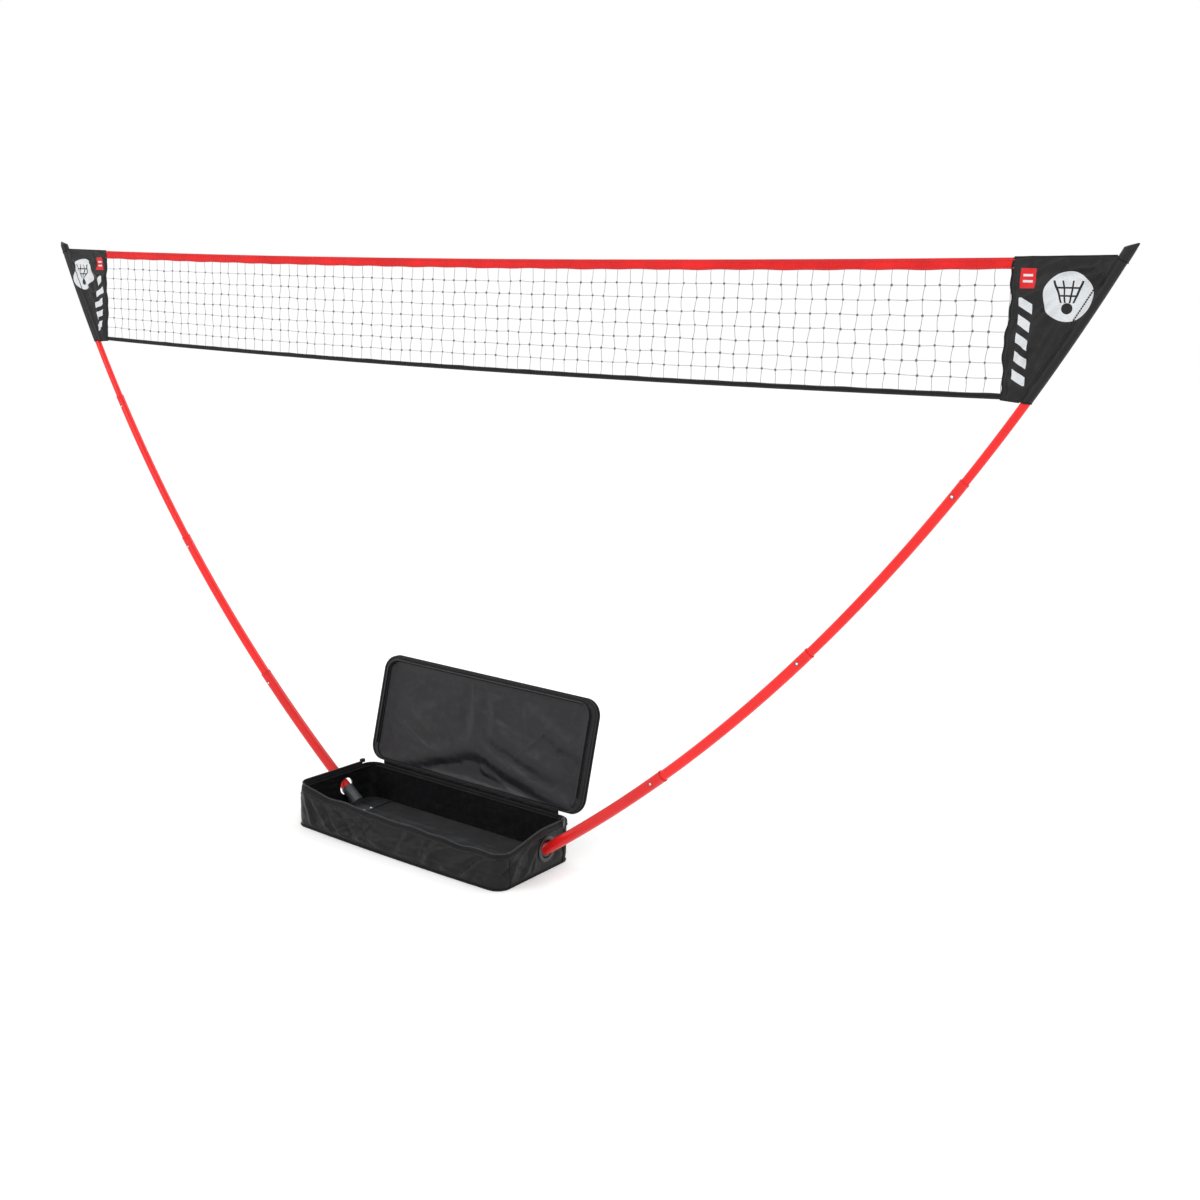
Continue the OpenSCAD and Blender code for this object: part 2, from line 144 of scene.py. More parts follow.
class NodeWork:
    """A node tree under construction. Every node comes from one method."""

    def __init__(self, tree: bpy.types.NodeTree) -> None:
        """Takes an empty tree."""
        self.tree = tree

    def node(
        self, kind: str, settings: dict[str, Any] | None = None, inputs: dict[Any, Any] | None = None
    ) -> bpy.types.Node:
        """Adds a node.

        Args:
            kind: The node's type.
            settings: Its properties, set before its sockets.
            inputs: Numbers, links or Values for its sockets, by name or number.

        Returns:
            The new node.
        """
        made = self.tree.nodes.new(kind)
        for key, value in (settings or {}).items():
            setattr(made, key, value)
        for key, value in (inputs or {}).items():
            socket = made.inputs[key]
            if isinstance(value, Value):
                value = value.socket
            if isinstance(value, Socket):
                self.tree.links.new(value, socket)
            elif socket.type == "RGBA" and len(value) == 3:
                socket.default_value = (*value, 1.0)
            else:
                socket.default_value = value
        return made


class Paint(NodeWork):
    """One node material under construction, with a Principled shader at its end."""

    def __init__(self, name: str) -> None:
        """Starts an empty node tree in a new material."""
        self.material = bpy.data.materials.new(name)
        self.material.use_nodes = True
        super().__init__(self.material.node_tree)
        self.tree.nodes.clear()

    def place(self, space: str = "Object", scale: Colour = (1.0, 1.0, 1.0)) -> Socket:
        """Gives Object coordinates, or the UV map in metres along the cloth, stretched by scale."""
        source = self.node("ShaderNodeTexCoord").outputs[space]
        return self.node("ShaderNodeMapping", {}, {"Vector": source, "Scale": scale}).outputs[0]

    def axes(self, vector: Socket) -> tuple[Value, Value, Value]:
        """Splits coordinates in three Values."""
        split = self.node("ShaderNodeSeparateXYZ", {}, {0: vector})
        return tuple(Value(self, socket) for socket in split.outputs)

    def noise(self, vector: Socket, scale: float, detail: float = 4.0, rough: float = 0.5) -> Value:
        """Adds soft noise from 0 to 1, with scale features per metre and detail octaves."""
        inputs = {"Vector": vector, "Scale": scale, "Detail": detail, "Roughness": rough}
        return Value(self, self.node("ShaderNodeTexNoise", {}, inputs).outputs[0])

    def level(self, fac: Value, low: float, high: float, start: float = 0.0, end: float = 1.0) -> Value:
        """Maps a Value that goes from start to end to low to high, and holds it between them."""
        inputs = {"Value": fac, "From Min": start, "From Max": end, "To Min": low, "To Max": high}
        return Value(self, self.node("ShaderNodeMapRange", {}, inputs).outputs[0])

    def mix(self, fac: Any, first: Any, second: Any) -> Socket:
        """Mixes two colours or colour sockets, with fac as the share of the second."""
        return self.node("ShaderNodeMix", {"data_type": "RGBA"}, {0: fac, 6: first, 7: second}).outputs[2]

    def bump(self, height: Value, distance: float, normal: Any = None, strength: float = 1.0) -> Socket:
        """Raises the surface by height times distance.

        Args:
            height: A Value from about 0 to 1.
            distance: Height in metres.
            normal: An earlier bump to build on.
            strength: Share of the effect.

        Returns:
            The new normal.
        """
        inputs = {"Height": height, "Distance": distance, "Strength": strength}
        if normal is not None:
            inputs["Normal"] = normal
        return self.node("ShaderNodeBump", {}, inputs).outputs[0]

    def finish(self, base: Any, rough: Any, normal: Any = None, **others: Any) -> bpy.types.Material:
        """Ends the tree with a Principled shader.

        Args:
            base: Its colour.
            rough: Its roughness.
            normal: Its bumped normal.
            **others: Its other sockets, with underscores for spaces.

        Returns:
            The finished material.
        """
        inputs = {"Base Color": base, "Roughness": rough, "Normal": normal}
        inputs.update((name.replace("_", " "), value) for name, value in others.items())
        inputs = {name: value for name, value in inputs.items() if value is not None}
        shader = self.node("ShaderNodeBsdfPrincipled", {}, inputs)
        self.node("ShaderNodeOutputMaterial", {}, {"Surface": shader.outputs[0]})
        return self.material


def shade(colour: Colour, factor: float, lift: float = 0.0) -> Colour:
    """Makes a colour darker or lighter, with no channel above 1."""
    return tuple(min(1.0, channel * factor + lift) for channel in colour)


@dataclass(frozen=True)
class Finish:
    """A finish that knows its name and can make its material once."""

    name: str

    def paint(self) -> bpy.types.Material:
        """Returns the finish's material, made on first use."""
        title = f"{self.name}_finish"
        return bpy.data.materials.get(title) or self.build(Paint(title))

    def build(self, paint: Paint) -> bpy.types.Material:
        """Builds the node tree in a subclass."""
        raise NotImplementedError


class Weave(Enum):
    """How a cloth's threads lie, as threads per metre along and across."""

    OXFORD = (1700.0, 1700.0)
    FINE = (2600.0, 2600.0)
    TAFFETA = (3200.0, 3200.0)


@dataclass(frozen=True)
class CoatedNylon(Finish):
    """Woven nylon with a thin coating: soft sheen, fine crinkles and dusty wear."""

    colour: Colour = (0.02, 0.021, 0.024)
    weave: Weave = Weave.OXFORD
    gloss: float = 0.42
    crinkle: float = 0.0012
    sheen: float = 0.05
    specular: float = 0.2

    def build(self, paint: Paint) -> bpy.types.Material:
        """Builds threads, crinkles, faded patches and sheen."""
        cloth = paint.place("UV")
        along, across, _ = paint.axes(cloth)
        turn_u, turn_v = (2.0 * math.pi * count for count in self.weave.value)
        threads = (along * turn_u).sine() * (across * turn_v).sine()
        patches = paint.noise(cloth, 7.0, 5.0, 0.6)
        dust = paint.noise(cloth, 55.0, 6.0, 0.65)
        folds = paint.noise(cloth, 26.0, 3.0, 0.45)
        creases = abs(paint.noise(cloth, 13.0, 2.0, 0.5) - 0.5) * 4.0
        base = paint.level(patches, 0.0, 1.0, 0.35, 0.7)
        base = paint.mix(base, shade(self.colour, 0.72), self.colour)
        base = paint.mix(paint.level(dust, 0.0, 0.5, 0.5, 0.8), base, shade(self.colour, 1.9, 0.006))
        rough = paint.level(patches * 0.6 + dust * 0.4, self.gloss - 0.08, self.gloss + 0.14, 0.3, 0.7)
        normal = paint.bump(folds, self.crinkle)
        normal = paint.bump(paint.level(creases, 0.0, 1.0), self.crinkle * 0.55, normal)
        normal = paint.bump(threads, 0.00006, normal, 0.55)
        return paint.finish(
            base,
            rough,
            normal,
            Sheen_Weight=self.sheen,
            Sheen_Roughness=0.4,
            Sheen_Tint=(0.75, 0.78, 0.85),
            Specular_IOR_Level=self.specular,
        )


@dataclass(frozen=True)
class PrintedNylon(CoatedNylon):
    """The sleeves' nylon with a plain screen print: a shuttlecock on a disc, slanted bars and a red patch."""

    disc: tuple[float, float, float] = (0.108, 0.196, 0.046)
    bars: tuple[float, float, float, float] = (0.031, 0.110, 0.0125, 0.082)
    bar_pitch: float = 0.034
    patch: tuple[float, float, float, float] = (0.030, 0.228, 0.0145, 0.0185)
    ink: Colour = (0.62, 0.64, 0.66)
    accent: Colour = (0.62, 0.012, 0.016)

    def build(self, paint: Paint) -> bpy.types.Material:
        """Adds the print's inks over the nylon."""
        super().build(paint)
        shader = next(n for n in paint.tree.nodes if n.type == "BSDF_PRINCIPLED")
        cloth = shader.inputs["Base Color"].links[0].from_socket
        u, v, _ = paint.axes(paint.place("UV"))
        wear = paint.level(paint.noise(paint.place("UV"), 700.0, 3.0), 0.7, 1.0, 0.35, 0.55)
        marks = (self.shuttlecock(u, v) + self.slanted_bars(u, v)) * wear
        inked = paint.mix(marks, cloth, self.ink)
        x, y, wide, tall = self.patch
        inked = paint.mix((abs(u - x) < wide) * (abs(v - y) < tall) * wear, inked, self.accent)
        stripe = (abs(u - x) < wide * 0.62) * (abs(abs(v - y) - tall * 0.3) < tall * 0.12)
        paint.tree.links.new(paint.mix(stripe * wear, inked, self.ink), shader.inputs["Base Color"])
        return paint.material

    def shuttlecock(self, u: Value, v: Value) -> Value:
        """Gives a disc with a shuttlecock left open in it.

        Args:
            u: Metres out from the sleeve's inner edge.
            v: Metres up from its lower edge.

        Returns:
            One on the disc's ink, else zero.
        """
        x, y, radius = self.disc
        u = (u - x) * (1.0 / radius)
        v = (v - y) * (1.0 / radius)
        disc = (u * u + v * v) < 1.0
        low = v + 0.48
        cork = (u * u + low * low).power(0.5) < 0.22
        inside = (abs(v - 0.18) < 0.44) * (abs(u) < (v + 0.9) * 0.42)
        edge = abs(abs(u) - (v + 0.9) * 0.38) < 0.05
        rib = abs(abs(u) - (v + 0.9) * 0.14) < 0.035
        hoops = (abs(v - 0.02) < 0.035) + (abs(v - 0.34) < 0.035)
        drawn = inside * (edge + rib + hoops) + cork
        return disc * (drawn < 0.5)

    def slanted_bars(self, u: Value, v: Value) -> Value:
        """Gives a column of plain slanted bars along the inner edge.

        Args:
            u: Metres out from the sleeve's inner edge.
            v: Metres up from its lower edge.

        Returns:
            One on a bar, else zero.
        """
        x, y, wide, tall = self.bars
        column = (abs(u - x) < wide) * (abs(v - y) < tall)
        wave = ((v + (u - x) * 0.6) * (2.0 * math.pi / self.bar_pitch)).sine()
        return column * ((0.0 - wave) < 0.15)


@dataclass(frozen=True)
class Webbing(Finish):
    """A ribbed woven tape."""

    colour: Colour = (0.42, 0.012, 0.018)
    rib: float = 0.0018
    gloss: float = 0.55

    def build(self, paint: Paint) -> bpy.types.Material:
        """Builds ribs across the tape with painted shade in the grooves between them, thread grain along it
        and a little soiling.
        """
        cloth = paint.place("UV")
        along, across, _ = paint.axes(cloth)
        ribs = (along * (2.0 * math.pi / self.rib)).sine() * 0.5 + 0.5
        threads = (across * 9000.0).sine() * (along * 5200.0).sine()
        soil = paint.noise(cloth, 9.0, 5.0, 0.6)
        # The grooves between the ribs are painted darker here: painted shade that follows the rib bump.
        base = paint.mix(ribs * 0.7, shade(self.colour, 0.6), self.colour)
        base = paint.mix(paint.level(soil, 0.0, 0.6, 0.4, 0.8), base, shade(self.colour, 1.25, 0.01))
        normal = paint.bump(ribs, 0.00025)
        normal = paint.bump(threads, 0.00006, normal, 0.5)
        rough = paint.level(soil, self.gloss, self.gloss + 0.15, 0.3, 0.7)
        return paint.finish(
            base, rough, normal, Sheen_Weight=0.04, Sheen_Roughness=0.45, Specular_IOR_Level=0.2
        )


@dataclass(frozen=True)
class PowderCoat(Finish):
    """Glossy red coating on steel tube, with orange peel and hairline scratches along the tube."""

    colour: Colour = (0.76, 0.013, 0.012)
    depth: float = 1.0

    def build(self, paint: Paint) -> bpy.types.Material:
        """Builds the coat, its faint peel, scratches and rubbed patches."""
        cloth = paint.place("UV")
        peel = paint.noise(cloth, 900.0, 2.0)
        patches = paint.noise(cloth, 12.0, 4.0, 0.55)
        scratches = paint.noise(paint.place("UV", (14.0, 2600.0, 1.0)), 1.0, 2.0, 0.4)
        line = paint.level(scratches, 0.0, 1.0, 0.68, 0.74)
        deep = shade(self.colour, 0.88 * self.depth)
        full = shade(self.colour, self.depth)
        pale = (self.colour[0] * 0.95, 0.05, 0.05)
        base = paint.mix(paint.level(patches, 0.0, 1.0, 0.35, 0.7), deep, full)
        base = paint.mix(line * 0.35, base, pale)
        rough = paint.level(patches, 0.24, 0.38, 0.3, 0.7) + line * 0.15
        normal = paint.bump(peel, 0.00004, None, 0.6)
        return paint.finish(
            base, rough, normal, Coat_Weight=0.2, Coat_Roughness=0.1, Specular_IOR_Level=0.22
        )


@dataclass(frozen=True)
class MouldedPlastic(Finish):
    """Moulded plastic with a fine spark-eroded grain and paler rubbed edges."""

    colour: Colour = (0.018, 0.018, 0.02)
    gloss: float = 0.42

    def build(self, paint: Paint) -> bpy.types.Material:
        """Builds grain and rubbing."""
        solid = paint.place()
        grain = paint.noise(solid, 2400.0, 2.0)
        patches = paint.noise(solid, 60.0, 4.0, 0.6)
        rubbed = shade(self.colour, 1.8, 0.008)
        base = paint.mix(paint.level(patches, 0.0, 0.6, 0.45, 0.75), self.colour, rubbed)
        rough = paint.level(patches, self.gloss - 0.06, self.gloss + 0.1, 0.3, 0.7)
        return paint.finish(base, rough, paint.bump(grain, 0.00005, None, 0.5))


@dataclass(frozen=True)
class BrightMetal(Finish):
    """Plated or cast metal with fine brushing and dull patches."""

    colour: Colour = (0.72, 0.73, 0.75)
    gloss: float = 0.28
    brushing: Colour = (30.0, 1400.0, 1400.0)

    def build(self, paint: Paint) -> bpy.types.Material:
        """Builds brushing and handling marks."""
        lines = paint.noise(paint.place("Object", self.brushing), 1.0, 3.0, 0.6)
        dull = paint.noise(paint.place(), 90.0, 5.0, 0.6)
        dark = shade(self.colour, 0.7)
        base = paint.mix(paint.level(dull, 0.0, 0.8, 0.45, 0.75), self.colour, dark)
        marks = lines * 0.5 + dull * 0.5
        rough = paint.level(marks, self.gloss - 0.08, self.gloss + 0.2, 0.3, 0.7)
        return paint.finish(base, rough, paint.bump(lines, 0.00002, None, 0.4), Metallic=1.0)


@dataclass(frozen=True)
class PaintedSteel(Finish):
    """Flat steel bar with a thin grey paint, worn through along hard use."""

    colour: Colour = (0.018, 0.019, 0.021)

    def build(self, paint: Paint) -> bpy.types.Material:
        """Builds the paint, its runs and a few bare spots."""
        solid = paint.place()
        patches = paint.noise(solid, 22.0, 6.0, 0.62)
        chips = paint.level(paint.noise(solid, 160.0, 3.0, 0.7), 0.0, 1.0, 0.7, 0.73)
        light = shade(self.colour, 1.7)
        base = paint.mix(paint.level(patches, 0.0, 1.0, 0.35, 0.7), self.colour, light)
        base = paint.mix(chips, base, (0.16, 0.155, 0.15))
        rough = paint.level(patches, 0.38, 0.6, 0.3, 0.7)
        return paint.finish(base, rough, paint.bump(patches, 0.0002, None, 0.5), Metallic=chips)


@dataclass(frozen=True)
class BoardSheet(Finish):
    """Pressed stiffening board with short fibres."""

    colour: Colour = (0.045, 0.045, 0.048)

    def build(self, paint: Paint) -> bpy.types.Material:
        """Builds fibres and mottling."""
        fibres = paint.noise(paint.place("Object", (1.0, 6.0, 1.0)), 420.0, 5.0, 0.7)
        mottle = paint.noise(paint.place(), 35.0, 4.0, 0.6)
        pale = shade(self.colour, 2.2)
        base = paint.mix(paint.level(fibres * mottle, 0.0, 1.0, 0.18, 0.42), self.colour, pale)
        rough = paint.level(mottle, 0.7, 0.9, 0.3, 0.7)
        return paint.finish(base, rough, paint.bump(fibres, 0.00025, None, 0.6))


@dataclass(frozen=True)
class Twine(Finish):
    """Braided twine with a twist you can see close up."""

    colour: Colour = (0.5, 0.51, 0.53)

    def build(self, paint: Paint) -> bpy.types.Material:
        """Builds the twist and uneven dye."""
        solid = paint.place()
        x, _, z = paint.axes(solid)
        twist = ((x + z) * 7000.0).sine() * 0.5 + 0.5
        dye = paint.noise(solid, 14.0, 3.0)
        dark = shade(self.colour, 0.55)
        base = paint.mix(twist * 0.45, self.colour, dark)
        base = paint.mix(paint.level(dye, 0.0, 0.45, 0.4, 0.7), base, dark)
        return paint.finish(base, 0.7, paint.bump(twist, 0.0001, None, 0.6), Sheen_Weight=0.2)


@dataclass(frozen=True)
class StudioFloor(Finish):
    """The pale floor."""

    colour: Colour = (0.9, 0.9, 0.895)
    glow: float = 0.14

    def build(self, paint: Paint) -> bpy.types.Material:
        """Builds a barely uneven matt surface."""
        tone = paint.noise(paint.place(), 1.3, 3.0)
        low = shade(self.colour, 0.985)
        base = paint.mix(tone, low, self.colour)
        return paint.finish(base, 0.75, Emission_Color=(1.0, 1.0, 1.0), Emission_Strength=self.glow)


CASE_NYLON = CoatedNylon("case_nylon", (0.0075, 0.0077, 0.0086), Weave.OXFORD, 0.36, 0.0016, 0.03, 0.17)
LINING_NYLON = CoatedNylon("lining_nylon", (0.0125, 0.0125, 0.0150), Weave.TAFFETA, 0.33, 0.0012, 0.05, 0.3)
SLEEVE_NYLON = PrintedNylon("sleeve_nylon", (0.0105, 0.0098, 0.0100), Weave.FINE, 0.42, 0.0011, 0.04, 0.24)
BINDING_TAPE = Webbing("binding_tape", (0.005, 0.005, 0.0055), 0.0014, 0.55)
ZIP_TAPE = Webbing("zip_tape", (0.007, 0.007, 0.008), 0.0011, 0.6)
ZIP_TEETH = MouldedPlastic("zip_teeth", (0.012, 0.012, 0.013), 0.3)
RED_WEBBING = Webbing("red_webbing", (0.78, 0.012, 0.012), 0.0018, 0.6)
BLACK_WEBBING = Webbing("black_webbing", (0.006, 0.006, 0.007), 0.0016, 0.55)
STITCH_BLACK = Webbing("black_thread", (0.03, 0.03, 0.032), 0.0006, 0.5)
STITCH_RED = Webbing("red_thread", (0.6, 0.05, 0.055), 0.0006, 0.5)
NET_TWINE = Twine("net_twine", (0.25, 0.26, 0.275))
KNOT_TWINE = Twine("knot_twine", (0.13, 0.135, 0.145))
POLE_RED = PowderCoat("pole_red")
POLE_DEEP = PowderCoat("pole_red_base", (0.7, 0.012, 0.011), 0.9)
BLACK_PLASTIC = MouldedPlastic("black_plastic")
GREY_PLASTIC = MouldedPlastic("grey_plastic", (0.055, 0.057, 0.062), 0.4)
BRIGHT_STEEL = BrightMetal("bright_steel", (0.74, 0.75, 0.77), 0.24)
SPRING_STEEL = BrightMetal("spring_steel", (0.5, 0.51, 0.53), 0.32)
ZIP_METAL = BrightMetal("zip_metal", (0.11, 0.112, 0.118), 0.34)
FRAME_STEEL = PaintedSteel("frame_steel")
BOARD = BoardSheet("board", (0.009, 0.009, 0.010))


# ---- mesh building ----


def mesh_piece(name: str, mesh: Mesh, finish: Finish | None) -> Piece:
    """Puts a mesh in the scene.

    Args:
        name: The piece's name.
        mesh: Its mesh, in the row frame.
        finish: Its finish, or None for a tool.

    Returns:
        The new object, at the origin.
    """
    piece = bpy.data.objects.new(name, mesh)
    bpy.context.scene.collection.objects.link(piece)
    if finish is not None:
        mesh.materials.clear()
        mesh.materials.append(finish.paint())
    mesh.shade_smooth()
    return piece


def lattice(name: str, points: Points, uv: Points, wrap: bool = False) -> Mesh:
    """Makes quads between rows of points.

    Args:
        name: The mesh's name.
        points: Rows by columns by 3.
        uv: Rows by columns by 2 in metres, with one column more where the rows are closed.
        wrap: Whether each row is a closed ring.

    Returns:
        The mesh.
    """
    rows, columns = points.shape[:2]
    index = np.arange(rows * columns).reshape(rows, columns)
    if wrap:
        index = np.concatenate([index, index[:, :1]], axis=1)

    def corners(grid: Points) -> Points:
        """Takes each quad's four corners from a grid."""
        return np.stack([grid[:-1, :-1], grid[:-1, 1:], grid[1:, 1:], grid[1:, :-1]], axis=2)

    quads = corners(index).reshape(-1, 4)
    mesh = bpy.data.meshes.new(name)
    mesh.from_pydata(points.reshape(-1, 3).tolist(), [], quads.tolist())
    layer = mesh.uv_layers.new(name="UVMap")
    layer.data.foreach_set("uv", corners(uv).reshape(-1).astype(np.float32))
    return mesh


def keep(piece: Piece, body: str, slot: str, *nodes: str) -> Piece:
    """Rides a piece on a body and hides the CAD nodes that it stands for."""
    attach(piece, body)
    if nodes:
        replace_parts(piece, *nodes)
    return piece


def cad_points(node: str) -> Points:
    """Gives a CAD node's vertices."""
    return np.array([vert.co for vert in frame["nodes"][node].data.vertices])


def lengths_along(points: Points) -> Points:
    """Gives the length walked up to each point of a line."""
    return np.concatenate([[0.0], np.cumsum(np.linalg.norm(np.diff(points, axis=0), axis=1))])


def tidy_shell(mesh: Mesh, merge: float = 1e-6, caps: bool = True) -> None:
    """Merges doubles, closes open ends and turns a closed shell's faces outwards.

    Args:
        mesh: The mesh to mend.
        merge: Distance of doubles.
        caps: Whether open loops are filled.
    """
    work = bmesh.new()
    work.from_mesh(mesh)
    bmesh.ops.remove_doubles(work, verts=work.verts, dist=merge)
    flat = [face for face in work.faces if face.calc_area() < 1e-12]
    bmesh.ops.delete(work, geom=flat, context="FACES_ONLY")
    if caps:
        bmesh.ops.holes_fill(work, edges=[edge for edge in work.edges if edge.is_boundary], sides=0)
    bmesh.ops.recalc_face_normals(work, faces=work.faces)
    work.to_mesh(mesh)
    work.free()


def apply_modifiers(piece: Piece) -> Piece:
    """Turns a piece's modifiers into plain mesh and returns it."""
    graph = bpy.context.evaluated_depsgraph_get()
    result = bpy.data.meshes.new_from_object(piece.evaluated_get(graph), depsgraph=graph)
    result.name = piece.name
    piece.modifiers.clear()
    piece.data = result
    return piece


def smoothstep(value: Points | float, start: float, end: float) -> Points:
    """Rises smoothly from 0 at start to 1 at end."""
    share = np.clip((np.asarray(value, float) - start) / (end - start), 0.0, 1.0)
    return share * share * (3.0 - 2.0 * share)


@dataclass(frozen=True)
class Crease:
    """One fold in a cloth: a ridge along a line that fades at its ends."""

    u: float
    v: float
    angle: float
    length: float
    width: float
    depth: float

    def height(self, u: Points, v: Points) -> Points:
        """Gives the fold's height over the cloth.

        Args:
            u: Metres along the cloth.
            v: Metres across it.

        Returns:
            Heights in metres.
        """
        along = (u - self.u) * math.cos(self.angle) + (v - self.v) * math.sin(self.angle)
        across = (v - self.v) * math.cos(self.angle) - (u - self.u) * math.sin(self.angle)
        bend = across + 0.08 * along * along / max(self.length, 0.01)
        ridge = np.exp(-((bend / self.width) ** 2))
        trough = 0.45 * np.exp(-(((bend - 1.6 * self.width) / self.width) ** 2))
        return self.depth * (ridge - trough) * np.exp(-((2.0 * along / self.length) ** 4))


@dataclass
class Creases:
    """Folds scattered over a cloth with a fixed seed, on top of chosen ones."""

    seed: int
    width: float
    height: float
    count: int
    depth: float = 0.003
    chosen: Sequence[Crease] = ()
    angles: Sequence[float] = (0.5, -0.6, 0.15, 1.2)
    folds: list[Crease] = field(default_factory=list)

    def __post_init__(self) -> None:
        """Draws the scattered folds."""
        draw = random.Random(self.seed)
        self.folds = list(self.chosen)
        for _ in range(self.count):
            reach = draw.uniform(0.25, 1.0)
            self.folds.append(
                Crease(
                    draw.uniform(0.0, self.width),
                    draw.uniform(0.0, self.height),
                    draw.choice(list(self.angles)) + draw.uniform(-0.25, 0.25),
                    reach * min(0.28, 1.4 * self.height + 0.05),
                    draw.uniform(0.004, 0.011),
                    self.depth * draw.uniform(0.25, 1.0) * draw.choice([1.0, 1.0, -0.7]),
                )
            )

    def __call__(self, u: Points, v: Points) -> Points:
        """Sums the folds' heights over the cloth."""
        total = np.zeros(np.broadcast(u, v).shape)
        for fold in self.folds:
            total = total + fold.height(u, v)
        return total


# ---- geometry nodes ----


class Tree(NodeWork):
    """A Geometry Nodes tree with named inputs that ends in Realize Instances and Set Material."""

    def __init__(self, name: str, inputs: dict[str, str]) -> None:
        """Starts the tree.

        Args:
            name: The tree's name.
            inputs: Socket types by input name, between the geometry and the material.
        """
        super().__init__(bpy.data.node_groups.new(name, "GeometryNodeTree"))
        face = self.tree.interface
        face.new_socket("Geometry", in_out="INPUT", socket_type="NodeSocketGeometry")
        self.keys = {
            label: face.new_socket(label, in_out="INPUT", socket_type=f"NodeSocket{kind}").identifier
            for label, kind in {**inputs, "Material": "Material"}.items()
        }
        face.new_socket("Geometry", in_out="OUTPUT", socket_type="NodeSocketGeometry")
        self.source = self.tree.nodes.new("NodeGroupInput").outputs

    def end(self, geometry: Socket) -> None:
        """Closes the tree on a geometry socket."""
        real = self.node("GeometryNodeRealizeInstances", {}, {"Geometry": geometry})
        painted = {"Geometry": real.outputs[0], "Material": self.source["Material"]}
        coloured = self.node("GeometryNodeSetMaterial", {}, painted).outputs[0]
        shaded = self.node("GeometryNodeSetShadeSmooth", {}, {"Geometry": coloured, "Shade Smooth": True})
        self.node("NodeGroupOutput", {}, {0: shaded.outputs[0]})

    def grow(self, name: str, base: Mesh, values: dict[str, Any], finish: Finish) -> Piece:
        """Runs the tree on a mesh.

        Args:
            name: The new piece's name.
            base: The mesh that the tree starts from.
            values: The tree's inputs by name.
            finish: The new piece's finish.

        Returns:
            A piece with a plain mesh.
        """
        piece = bpy.data.objects.new(name, base)
        bpy.context.scene.collection.objects.link(piece)
        modifier = piece.modifiers.new("grow", "NODES")
        modifier.node_group = self.tree
        for label, value in {**values, "Material": finish.paint()}.items():
            modifier[self.keys[label]] = value
        return apply_modifiers(piece)


def polyline_mesh(name: str, lines: Sequence[Points], ring: bool = False) -> Mesh:
    """Makes a mesh of edges along lines of points.

    Args:
        name: The mesh's name.
        lines: Points of each line.
        ring: Whether every line is closed.

    Returns:
        The mesh.
    """
    points: list[Sequence[float]] = []
    edges: list[tuple[int, int]] = []
    for line in lines:
        start = len(points)
        points.extend(np.asarray(line, float).tolist())
        edges.extend((start + k, start + k + 1) for k in range(len(line) - 1))
        if ring:
            edges.append((len(points) - 1, start))
    mesh = bpy.data.meshes.new(name)
    mesh.from_pydata(points, edges, [])
    return mesh


def tube_tree() -> Tree:
    """Makes a round cord along every line of the mesh."""
    tree = Tree("cord_along_lines", {"Radius": "Float", "Sides": "Int"})
    size = {"Resolution": tree.source["Sides"], "Radius": tree.source["Radius"]}
    curve = tree.node("GeometryNodeMeshToCurve", {}, {"Mesh": tree.source["Geometry"]}).outputs[0]
    ring = tree.node("GeometryNodeCurvePrimitiveCircle", {}, size).outputs[0]
    sweep = {"Curve": curve, "Profile Curve": ring, "Fill Caps": True}
    tree.end(tree.node("GeometryNodeCurveToMesh", {}, sweep).outputs[0])
    return tree


def row_tree() -> Tree:
    """Sets an item at an even pitch along every line, its X along the line and its Z towards Up."""
    tree = Tree("items_along_lines", {"Item": "Object", "Pitch": "Float", "Up": "Vector"})
    curve = tree.node("GeometryNodeMeshToCurve", {}, {"Mesh": tree.source["Geometry"]}).outputs[0]
    spaced = {"Curve": curve, "Length": tree.source["Pitch"]}
    even = tree.node("GeometryNodeCurveToPoints", {"mode": "LENGTH"}, spaced).outputs
    turn = "FunctionNodeAlignRotationToVector"
    along = tree.node(turn, {"axis": "X"}, {"Vector": even["Tangent"]}).outputs[0]
    raised = {"Rotation": along, "Vector": tree.source["Up"]}
    upright = tree.node(turn, {"axis": "Z", "pivot_axis": "X"}, raised).outputs[0]
    item = tree.node("GeometryNodeObjectInfo", {}, {"Object": tree.source["Item"]}).outputs["Geometry"]
    placed = {"Points": even["Points"], "Instance": item, "Rotation": upright}
    tree.end(tree.node("GeometryNodeInstanceOnPoints", {}, placed).outputs[0])
    return tree


def point_tree() -> Tree:
    """Sets an item at every vertex, turned by an angle and sized a little at random."""
    tree = Tree("items_at_points", {"Item": "Object", "Turn": "Float", "Seed": "Int"})
    item = tree.node("GeometryNodeObjectInfo", {}, {"Object": tree.source["Item"]}).outputs["Geometry"]
    sizes = {2: 0.8, 3: 1.2, "Seed": tree.source["Seed"]}
    size = tree.node("FunctionNodeRandomValue", {"data_type": "FLOAT"}, sizes).outputs[1]
    angle = tree.node("ShaderNodeCombineXYZ", {}, {"Y": tree.source["Turn"]}).outputs[0]
    placed = {"Points": tree.source["Geometry"], "Instance": item, "Rotation": angle, "Scale": size}
    tree.end(tree.node("GeometryNodeInstanceOnPoints", {}, placed).outputs[0])
    return tree


